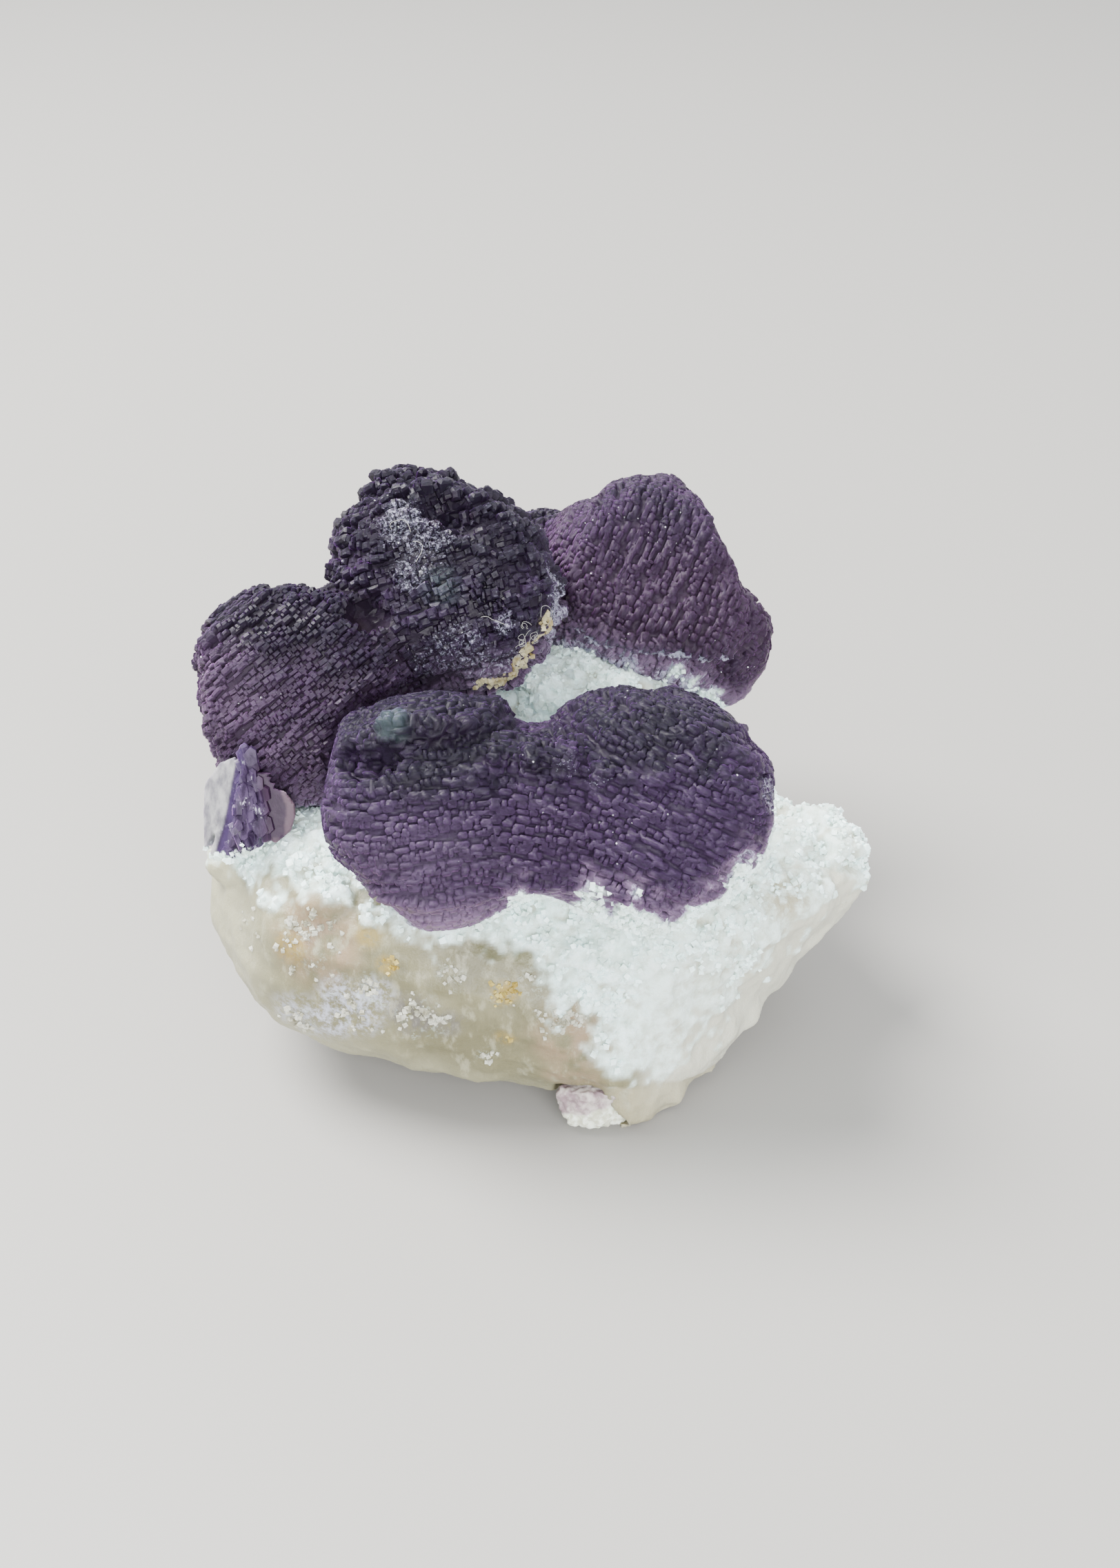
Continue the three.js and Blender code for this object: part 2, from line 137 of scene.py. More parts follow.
# Knobs ringed with painted shade, wider swellings and hollows: where, how wide, and how far out, in
# millimetres.
KNOBS = [
    ((-9.4, -11.1, 29.1), 1.6, 0.9), ((-7.4, -11.4, 29.3), 1.3, 0.8), ((-6.1, -11.8, 29.2), 1.0, 0.7),
    ((-4.9, -11.2, 29.1), 1.0, 0.6),
]
SWELLINGS = [
    ((-1.65, -12.1, 27.3), 1.1, 0.7), ((0.3, -12.1, 27.2), 1.3, 0.7), ((2.3, -12.8, 26.6), 1.0, 0.6),
    ((-3.6, -12.2, 27.8), 1.2, 0.6), ((5.6, -13.6, 27.2), 1.4, 0.4), ((-7.4, 2.0, 30.7), 1.8, 0.35),
    ((-10.8, 4.6, 35.0), 1.6, 0.4), ((-4.6, 3.4, 31.2), 1.6, 0.3), ((-19.5, -2.0, 28.2), 2.2, 0.3),
]
# The hollows are darkened with painted shade.
HOLLOWS = [
    ((-7.4, 4.7, 34.9), 1.8, -1.2), ((-6.2, 4.2, 34.3), 1.4, -0.9), ((-12.2, 1.3, 29.2), 1.7, -1.0),
    ((-12.9, 1.6, 27.6), 1.4, -0.7), ((-12.3, -11.3, 26.5), 1.0, -1.2), ((-11.4, -12.2, 26.7), 1.2, -1.2),
    ((-10.4, -12.4, 27.0), 1.1, -1.1), ((-9.6, -12.6, 27.4), 0.8, -0.8), ((-3.6, 3.2, 33.2), 1.3, -0.6),
    ((-2.5, 3.0, 32.6), 1.0, -0.5),
]
# The overhanging ledge low on the right ball: where it runs, and how far it stands out.
RIGHT_LEDGE = [
    (1.0, 9.2, 23.1), (2.8, 8.9, 22.75), (4.6, 8.6, 22.7), (6.1, 8.3, 22.45), (8.0, 8.3, 22.2),
    (9.6, 8.4, 21.9), (11.2, 8.7, 21.4), (12.6, 9.0, 20.9),
]
RIGHT_LEDGE_RISE = 0.7


def link(name, mesh):
    made = bpy.data.objects.new(name, mesh)
    bpy.context.scene.collection.objects.link(made)
    return made


def node_copy(node, name):
    """A copy of a node's solid, with its corners joined."""
    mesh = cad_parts[node].data.copy()
    mesh.materials.clear()
    joined = bmesh.new()
    joined.from_mesh(mesh)
    bmesh.ops.remove_doubles(joined, verts=joined.verts, dist=1e-6)
    joined.to_mesh(mesh)
    joined.free()
    for layer in list(mesh.attributes):
        if layer.name.startswith("custom") or layer.name == "sharp_face":
            mesh.attributes.remove(layer)
    return link(name, mesh)


def settle(made):
    """Turns an object and its modifiers into a plain mesh."""
    depsgraph = bpy.context.evaluated_depsgraph_get()
    mesh = bpy.data.meshes.new_from_object(made.evaluated_get(depsgraph), depsgraph=depsgraph)
    made.modifiers.clear()
    old = made.data
    made.data = mesh
    bpy.data.meshes.remove(old)
    return made


def fuse(made, voxel, smoothing):
    """Gives an object one even skin, and rubs it smooth."""
    remesh = made.modifiers.new("Fuse", "REMESH")
    remesh.mode = "VOXEL"
    remesh.voxel_size = voxel
    smooth = made.modifiers.new("Rub", "SMOOTH")
    smooth.factor = 0.5
    smooth.iterations = smoothing
    return settle(made)


def tree_of(made):
    """An object's faces, for finding the surface from a place or along a ray."""
    mesh = made.data
    return BVHTree.FromPolygons([v.co for v in mesh.vertices], [p.vertices for p in mesh.polygons])


def column(items, key, width=3):
    """One value of every vertex or face, as an array."""
    values = np.empty(len(items) * width)
    items.foreach_get(key, values)
    return values.reshape(-1, width) if width > 1 else values


def mark(mesh, name, values, domain="POINT"):
    """Keeps one number, or one vector, for each vertex or face, for the material to read."""
    values = np.asarray(values, np.float32)
    kind, key = ("FLOAT", "value") if values.ndim == 1 else ("FLOAT_VECTOR", "vector")
    mesh.attributes.new(name, kind, domain).data.foreach_set(key, values.ravel())


def smoothstep(low, high, x):
    """0 below low, 1 above high, and smooth between."""
    t = np.clip((np.asarray(x, float) - low) / (high - low), 0, 1)
    return t * t * (3 - 2 * t)


def measured(co):
    """Places in millimetres, in the measure that the balls' centres are given in."""
    return (co - np.array(HOME)) / MM


def blot(local, spot, radius):
    """A soft round patch: 1 at its middle, 0 beyond its radius."""
    return 1 - smoothstep(0.35, 1.0, np.linalg.norm(local - np.array(spot), axis=1) / radius)


def patches(local, spots):
    """The strongest of some soft patches at every place. Each is a spot, a radius and a strength."""
    return np.max([strength * blot(local, spot, radius) for spot, radius, strength in spots], axis=0)


def heaped(local, spots):
    """The sum of some soft patches at every place."""
    return sum(strength * blot(local, spot, radius) for spot, radius, strength in spots)


def line_at(line, across):
    """How high a line of points runs, at every distance across."""
    return np.interp(across, *zip(*line))


def cloud(co, size):
    """Soft noise about size millimetres across, from about -0.5 to 0.5, at every place."""
    return np.array([noise.noise(Vector(p)) for p in co / (size * MM)]) * 0.7


def off_path(local, path):
    """How far each place is from a line through some points."""
    path = np.array(path)
    away = np.full(len(local), np.inf)
    for first, last in zip(path, path[1:]):
        step = last - first
        along = np.clip((local - first) @ step / (step @ step), 0, 1)
        away = np.minimum(away, np.linalg.norm(local - first - along[:, None] * step, axis=1))
    return away


def ledge_mesh(name, rim, rings):
    """A growth step: a block one unit each way, by its uneven outline and its rings (level, width)."""
    shape = bmesh.new()
    made = []
    for level, width in rings:
        made.append([shape.verts.new((x * width, y * width, level)) for x, y in rim])
    shape.faces.new(made[0][::-1])
    shape.faces.new(made[-1])
    for low, high in zip(made, made[1:]):
        for i in range(len(rim)):
            j = (i + 1) % len(rim)
            shape.faces.new((low[i], low[j], high[j], high[i]))
    mesh = bpy.data.meshes.new(name)
    shape.to_mesh(mesh)
    shape.free()
    return link(name, mesh)


def step_places(ball, balls, tree, rng):
    """Where the steps of one ball sit: row by row round its axis, each with its facing, run and size."""
    side = ball.axis.orthogonal().normalized()
    other = ball.axis.cross(side)
    rows = int(math.pi * ball.radius / ball.row)
    length = WORN_WIDTH if ball.rough < WORN_BELOW else LEDGE_WIDTH
    overlap = OVERLAP + 0.5 * max(0.0, SMOOTH_BELOW - ball.rough)
    found = []

    def add(polar, turn, size, proud):
        ring = Vector((math.cos(turn), math.sin(turn), 0)) * math.sin(polar)
        direction = ball.axis * math.cos(polar) + side * ring.x + other * ring.y
        start = ball.centre + direction * ball.radius * OUTSIDE
        hit, normal, _, _ = tree.ray_cast(start, -direction, ball.radius * OUTSIDE)
        if hit is None or normal.dot(direction) < STEEPEST:
            return
        gaps = [(hit - b.centre).length - b.radius for b in balls]
        mine = gaps[balls.index(ball)]
        if mine > OFF_BALL * ball.radius or mine > min(gaps) + BORDER:
            return
        if plates_skin.find_nearest(hit, PLATES_CLEAR)[0] or quartz_skin.find_nearest(hit, CLEAR)[0]:
            return
        if any((hit - place(*spot)).length < BARE * radius * MM for spot, radius, _ in HOLLOWS):
            return
        axis = sum((b.axis * math.exp(-gap / BLEND) for b, gap in zip(balls, gaps)), Vector()).normalized()
        run = axis.cross(normal)
        run = (run if run.length > 1e-3 else side).normalized()
        angle = axis.angle(normal)
        tilt = STEPPING * (round(angle / (math.pi / 2)) * math.pi / 2 - angle)
        facing = normal * math.cos(tilt) + run.cross(normal) * -math.sin(tilt)
        patch = ring * ball.radius / TERRACE[0] + Vector((0, 0, polar * ball.radius / TERRACE[1]))
        rise = noise.noise(patch) + 0.35 * noise.noise(patch * 2.3)
        rise = round(rise * TERRACE_RISE / TERRACE_STEP) * TERRACE_STEP * MM
        out = max((proud + rise) * ball.rough, -DEEPEST) - size[2] / 2
        found.append((hit + normal * out, facing, run, size, ball.rough))

    for k in range(rows):
        base = math.pi * (k + 0.5) / rows
        ring = 2 * math.pi * ball.radius * math.sin(base)
        turn = rng.random() * 0.3
        end = turn + 2 * math.pi
        while turn < end:
            width = length * min(2.0, max(0.5, math.exp(rng.gauss(0, WIDTH_SPREAD))))
            share = width / ring * 2 * math.pi
            middle = turn + share / 2
            waver = noise.noise(Vector((math.cos(middle), math.sin(middle), k * 0.23)) * 1.9)
            polar = base + (2.2 * waver + rng.uniform(-0.55, 0.55)) * ball.row / ball.radius
            proud = rng.uniform(-PROUD_SPREAD, PROUD_SPREAD)
            if rng.random() > MISSING_SHARE:
                size = width * overlap, ball.row * overlap * rng.uniform(0.8, 1.45), LEDGE_DEPTH
                add(polar, middle, size, proud)
            turn += share
    return found


def socket_on(modifier, values):
    """Sets the named inputs of a Geometry Nodes modifier."""
    for item in modifier.node_group.interface.items_tree:
        if item.item_type == "SOCKET" and item.in_out == "INPUT" and item.name in values:
            modifier[item.identifier] = values[item.name]


class Nodes:
    """A Geometry Nodes tree being made, with named inputs."""

    def __init__(self, name, inputs):
        self.group = bpy.data.node_groups.new(name, "GeometryNodeTree")
        face = self.group.interface
        face.new_socket("Geometry", in_out="INPUT", socket_type="NodeSocketGeometry")
        for label, kind in inputs.items():
            face.new_socket(label, in_out="INPUT", socket_type="NodeSocket" + kind)
        face.new_socket("Geometry", in_out="OUTPUT", socket_type="NodeSocketGeometry")
        self.given = self.group.nodes.new("NodeGroupInput").outputs
        self.result = self.group.nodes.new("NodeGroupOutput").inputs[0]

    def add(self, kind, settings=None, values=None):
        """A node by its type, its settings, and the values or links of its inputs."""
        made = self.group.nodes.new(kind)
        for key, value in (settings or {}).items():
            setattr(made, key, value)
        for key, value in (values or {}).items():
            for source in value if isinstance(value, list) else [value]:
                if isinstance(source, bpy.types.NodeSocket):
                    self.group.links.new(source, made.inputs[key])
                else:
                    made.inputs[key].default_value = source
        return made.outputs

    def sum(self, operation, first, second):
        return self.add("ShaderNodeMath", {"operation": operation}, {0: first, 1: second})[0]

    def field(self, name, kind="FLOAT"):
        return self.add("GeometryNodeInputNamedAttribute", {"data_type": kind}, {"Name": name})["Attribute"]

    def any(self, low, high, seed):
        """A random number for each point, from low to high."""
        values = {2: low, 3: high, "Seed": seed}
        return self.add("FunctionNodeRandomValue", {"data_type": "FLOAT"}, values)[1]

    def finish(self, geometry, material):
        realized = self.add("GeometryNodeRealizeInstances", None, {"Geometry": geometry})["Geometry"]
        values = {"Geometry": realized, "Material": material}
        self.group.links.new(self.add("GeometryNodeSetMaterial", None, values)["Geometry"], self.result)


def stepped_tree():
    """Sets a block on every point, turned to its facing and its row, and joins all into one solid."""
    tree = Nodes("Stepped growth", {
        "Block": "Object", "Core": "Object", "Inset": "Float", "Lean": "Float", "Lean Spread": "Float",
        "Twist": "Float", "Seed": "Int", "Material": "Material",
    })
    given = tree.given
    axes = {"Primary Axis": tree.field("facing", "FLOAT_VECTOR")}
    axes["Secondary Axis"] = tree.field("run", "FLOAT_VECTOR")
    turn = tree.add("FunctionNodeAxesToRotation", {"primary_axis": "Z", "secondary_axis": "X"}, axes)

    def wobble(most, seed):
        swing = tree.any(-1.0, 1.0, tree.sum("ADD", given["Seed"], seed))
        return tree.sum("MULTIPLY", tree.sum("MULTIPLY", swing, most), tree.field("rough"))

    lean = {"X": tree.sum("ADD", given["Lean"], wobble(given["Lean Spread"], 0.0))}
    lean["Y"] = wobble(given["Twist"], 31.0)
    lean["Z"] = wobble(given["Twist"], 57.0)
    tip = tree.add("ShaderNodeCombineXYZ", None, lean)["Vector"]
    tip = tree.add("FunctionNodeEulerToRotation", None, {"Euler": tip})["Rotation"]
    both = {"Rotation": turn["Rotation"], "Rotate By": tip}
    turned = tree.add("FunctionNodeRotateRotation", {"rotation_space": "LOCAL"}, both)["Rotation"]
    blocks = tree.add("GeometryNodeInstanceOnPoints", None, {
        "Points": given["Geometry"], "Rotation": turned, "Scale": tree.field("size", "FLOAT_VECTOR"),
        "Instance": tree.add("GeometryNodeObjectInfo", None, {"Object": given["Block"]})["Geometry"],
    })
    normal = tree.add("GeometryNodeInputNormal")["Normal"]
    inwards = {0: normal, "Scale": tree.sum("MULTIPLY", given["Inset"], -1.0)}
    core = tree.add("GeometryNodeSetPosition", None, {
        "Geometry": tree.add("GeometryNodeObjectInfo", None, {"Object": given["Core"]})["Geometry"],
        "Offset": tree.add("ShaderNodeVectorMath", {"operation": "SCALE"}, inwards)["Vector"],
    })
    union = {"operation": "UNION", "solver": "MANIFOLD"}
    parts = {"Mesh 2": [blocks["Instances"], core["Geometry"]]}
    tree.finish(tree.add("GeometryNodeMeshBoolean", union, parts)["Mesh"], given["Material"])
    return tree.group


class Finish:
    """A material being made: its nodes, and the shader that they feed."""

    def __init__(self, name):
        self.material = bpy.data.materials.new(name)
        self.material.use_nodes = True
        self.tree = self.material.node_tree
        self.tree.nodes.clear()
        self.surface = self.tree.nodes.new("ShaderNodeBsdfPrincipled")
        output = self.tree.nodes.new("ShaderNodeOutputMaterial")
        self.tree.links.new(self.surface.outputs[0], output.inputs[0])
        self.spot = self.add("ShaderNodeTexCoord")["Object"]

    def add(self, kind, settings=None, values=None):
        """A node by its type, its settings, and the values or links of its sockets."""
        made = self.tree.nodes.new(kind)
        for key, value in (settings or {}).items():
            setattr(made, key, value)
        for key, value in (values or {}).items():
            self.feed(made.inputs[key], value)
        return made.outputs

    def feed(self, socket, value):
        if isinstance(value, Amount):
            value = value.socket
        if isinstance(value, bpy.types.NodeSocket):
            self.tree.links.new(value, socket)
        else:
            socket.default_value = value

    def amount(self, name):
        return Amount(self, self.add("ShaderNodeAttribute", {"attribute_name": name})["Fac"])

    def squeezed(self, stretch, spot=None):
        """Places for a texture, squeezed along some directions."""
        values = {0: spot or self.spot, 1: stretch}
        return self.add("ShaderNodeVectorMath", {"operation": "MULTIPLY"}, values)[0]

    def grain(self, size, detail=3.0, rough=0.55, spot=None):
        """Soft noise whose lumps are about size millimetres across, from 0 to 1."""
        values = {"Scale": 1 / (size * MM), "Detail": detail, "Roughness": rough}
        values["Vector"] = spot or self.spot
        return Amount(self, self.add("ShaderNodeTexNoise", None, values)["Fac"])

    def cells(self, size, output="Distance", spot=None):
        values = {"Vector": spot or self.spot, "Scale": 1 / (size * MM)}
        return Amount(self, self.add("ShaderNodeTexVoronoi", None, values)[output])

    def mix(self, share, first, second):
        """first where share is 0, second where it is 1."""
        values = {0: share, 6: first, 7: second}
        return self.add("ShaderNodeMix", {"data_type": "RGBA"}, values)[2]

    def bump(self, height, strength, depth):
        values = {"Height": height, "Strength": strength, "Distance": depth}
        self.feed(self.surface.inputs["Normal"], self.add("ShaderNodeBump", None, values)["Normal"])

    def set(self, values):
        for key, value in values.items():
            self.feed(self.surface.inputs[key], value)


class Amount:
    """One socket of a material, used as a number in sums."""

    def __init__(self, finish, socket):
        self.finish, self.socket = finish, socket

    def sum(self, operation, first, second):
        values = {0: first, 1: second}
        return Amount(self.finish, self.finish.add("ShaderNodeMath", {"operation": operation}, values)[0])

    def __add__(self, other):
        return self.sum("ADD", self, other)

    def __sub__(self, other):
        return self.sum("SUBTRACT", self, other)

    def __rsub__(self, other):
        return self.sum("SUBTRACT", other, self)

    def __mul__(self, other):
        return self.sum("MULTIPLY", self, other)

    __radd__ = __add__
    __rmul__ = __mul__

    def above(self, low, high):
        """0 below low, 1 above high, and smooth between."""
        values = {0: self, 1: low, 2: high, 3: 0.0, 4: 1.0}
        spread = {"interpolation_type": "SMOOTHSTEP"}
        return Amount(self.finish, self.finish.add("ShaderNodeMapRange", spread, values)[0])


VIOLET = (0.027, 0.015, 0.041, 1)
WINE = (0.024, 0.012, 0.026, 1)
# A grey tint, which is also a painted sheen where it lies on the tops of the balls.
SLATE_AND_SHEEN = (0.0072, 0.006, 0.0115, 1)
# Painted light: a rosy lightening low on the balls and near the quartz.
ROSE_BOUNCE_LIGHT = (0.185, 0.125, 0.205, 1)
# Painted highlight, partly wear: the lighter tints of step faces that look outwards.
WEAR_AND_HIGHLIGHT = (0.06, 0.054, 0.082, 1)
SILVER_HIGHLIGHT = (0.13, 0.128, 0.165, 1)
GREENISH = (0.035, 0.055, 0.058, 1)
# Painted shade: the dark colours of gaps between steps, low places and hollows.
SHADE_VIOLET = (0.007, 0.0035, 0.011, 1)
SHADE_WINE = (0.01, 0.003, 0.005, 1)
FROST = (0.34, 0.34, 0.44, 1)
# White specks, partly painted glints.
SPECK_AND_GLINT = (0.65, 0.68, 0.7, 1)
SUGAR_SHADE = (0.58, 0.7, 0.64, 1)


def fluorite():
    """Dark purple crystal: painted grey sheen on tops, painted highlights and wear, painted shade in gaps and
    wine-dark hollows, painted light low down, frost, specks of quartz, partly painted glints.
    """
    f = Finish("stepped_fluorite")
    slate, wine, top, rough = (f.amount(name) for name in ("slate", "wine", "top", "rough"))
    rows = f.add("ShaderNodeAttribute", {"attribute_name": "rows"})["Vector"]
    fine = f.grain(0.42, 4, 0.65, f.squeezed((1.0, 1.0, 2.3), rows))
    steps = f.cells(0.42, "Color", f.squeezed((1.0, 1.0, 1.6), rows))
    # Painted shade, in the ball's violet or wine.
    dark = f.mix(wine, SHADE_VIOLET, SHADE_WINE)
    # Painted highlight, partly wear: silvery on the roughest balls.
    light = f.mix(rough.above(0.6, 1.0) * 0.7, WEAR_AND_HIGHLIGHT, SILVER_HIGHLIGHT)
    body = f.mix(wine, VIOLET, WINE)
    # Greyer tops: the balls' own slate tint, and a painted sheen on their upper parts.
    body = f.mix((slate + (f.grain(1.8, 5, 0.65) - 0.5) * 1.5).above(0.2, 0.95), body, SLATE_AND_SHEEN)
    # Painted light: lighter low on the balls, near the quartz, where it creeps and on some listed faces.
    body = f.mix(f.amount("foot"), body, ROSE_BOUNCE_LIGHT)
    body = f.mix(f.amount("green"), body, GREENISH)
    # Painted shade in the dark lines between the rows of steps.
    body = f.mix((1 - fine.above(0.36, 0.5)) * (0.3 + 0.5 * rough), body, dark)
    # Painted highlight, partly wear, on some outward faces of the steps.
    wear_and_highlight = fine.above(0.54, 0.66) * (0.25 + 0.75 * f.amount("tone")) * top
    body = f.mix(wear_and_highlight * (0.2 + 0.42 * rough) * (1 - 0.4 * slate), body, light)
    # Painted shade, darker the lower a place lies between the steps.
    crevice_shade = 1 - f.amount("relief") * (0.6 + 0.4 * top)
    body = f.mix(crevice_shade * (0.16 + 0.66 * rough), body, dark)
    # Painted shade in the hollows and in a ring round each knob.
    body = f.mix(f.amount("hollow") * 0.9, body, dark)
    # Frost, in places a painted highlight.
    frost = (f.amount("frost") + (f.grain(0.24, 5, 0.8) - 0.5) * 2.2).above(0.5, 0.85)
    body = f.mix(frost * 0.8, body, FROST)
    body = f.mix(f.amount("creep") * 0.85, body, SUGAR_SHADE)
    # White specks, partly painted glints.
    speck_and_glint = (1 - f.cells(0.85).above(0.04, 0.08)) * f.grain(2.5).above(0.48, 0.6)
    body = f.mix(speck_and_glint, body, SPECK_AND_GLINT)
    f.set({
        "Base Color": body, "Roughness": 0.32 + 0.3 * f.grain(0.4, 4) + 0.2 * frost, "IOR": 1.434,
        "Specular IOR Level": 0.16, "Coat Roughness": 0.14,
        "Coat Weight": top * (0.02 + 0.13 * rough) * f.grain(0.5, 4, 0.7).above(0.44, 0.62),
        "Subsurface Weight": 0.5, "Subsurface Radius": (1.0, 0.6, 1.1), "Subsurface Scale": 0.8 * MM,
    })
    f.bump(0.5 * steps + fine + 0.5 * f.grain(0.14, 4, 0.65), 0.6, 0.08 * MM)
    return f.material


fluorite_finish = fluorite()
quartz_skin = tree_of(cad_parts["quartz_matrix"])
plates_skin = tree_of(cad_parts["fluorite_broken_crystal"])
PLATES_CLEAR = 0.3 * MM
LEDGE_RIM = ((-0.5, -0.5), (0.5, -0.47), (0.48, 0.5), (-0.5, 0.46))
WORN_RIM = ((-0.52, 0.06), (-0.36, -0.5), (0.33, -0.48), (0.5, -0.03), (0.37, 0.5), (-0.32, 0.47))
ledge = ledge_mesh("ledge", LEDGE_RIM, ((-0.5, 1.0), (0.28, 0.97), (0.5, 0.56)))
worn_ledge = ledge_mesh("worn_ledge", WORN_RIM, ((-0.5, 1.2), (0.5, 0.7)))
growth = stepped_tree()
ball_skins = {}
stepped = {}


def grown(name, found, given):
    """A solid with a block at every place found, each with its facing, its run and its size."""
    points = bpy.data.meshes.new(name + "_steps")
    points.from_pydata([step[0] for step in found], [], [])
    for label, index in (("facing", 1), ("run", 2), ("size", 3), ("rough", 4)):
        mark(points, label, [step[index] for step in found])
    piece = link(name, points)
    steps = piece.modifiers.new("Growth", "NODES")
    steps.node_group = growth
    socket_on(steps, given)
    settle(piece)
    triangles = sum(len(polygon.vertices) - 2 for polygon in piece.data.polygons)
    if triangles > MOST_TRIANGLES:
        thin = piece.modifiers.new("Thin", "DECIMATE")
        thin.ratio = MOST_TRIANGLES / triangles
        settle(piece)
    return piece


def grow_steps(node, seed):
    """One cluster: its smooth core set in a little, with a block on every step, joined to one solid."""
    balls = CLUSTERS[node]
    core = fuse(node_copy(node, node + "_core"), CORE_VOXEL, CORE_SMOOTHING)
    co, normals = column(core.data.vertices, "co"), column(core.data.vertices, "normal")
    local = measured(co)
    rise = heaped(local, KNOBS + SWELLINGS + HOLLOWS)
    x, y, z = local.T
    above = z - line_at([(spot[0], spot[2]) for spot in RIGHT_LEDGE], x)
    front = smoothstep(-0.2, 0.2, above) * (1 - smoothstep(1.5, 5.0, above)) * (1 - smoothstep(13, 16, y))
    rise += RIGHT_LEDGE_RISE * front * smoothstep(7, 8, y) * smoothstep(0, 3, x)
    core.data.vertices.foreach_set("co", (co + normals * rise[:, None] * MM).ravel())
    core.data.update()
    skin = tree_of(core)
    rng = random.Random(seed)
    found = [step for ball in balls for step in step_places(ball, balls, skin, rng)]
    piece = grown(node.replace("fluorite", "stepped"), found, {
        "Block": worn_ledge if node in WORN_SOFT else ledge, "Core": core, "Inset": CORE_INSET, "Lean": 0.0,
        "Lean Spread": LEAN_SPREAD, "Twist": TWIST, "Seed": seed, "Material": fluorite_finish,
    })
    if node in WORN_SOFT:
        piece.data.shade_smooth()
    shade(piece.data, skin, balls, found, rng)
    bpy.data.objects.remove(core)
    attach(piece, "root")
    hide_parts(node)
    ball_skins[node] = skin
    stepped[node] = piece


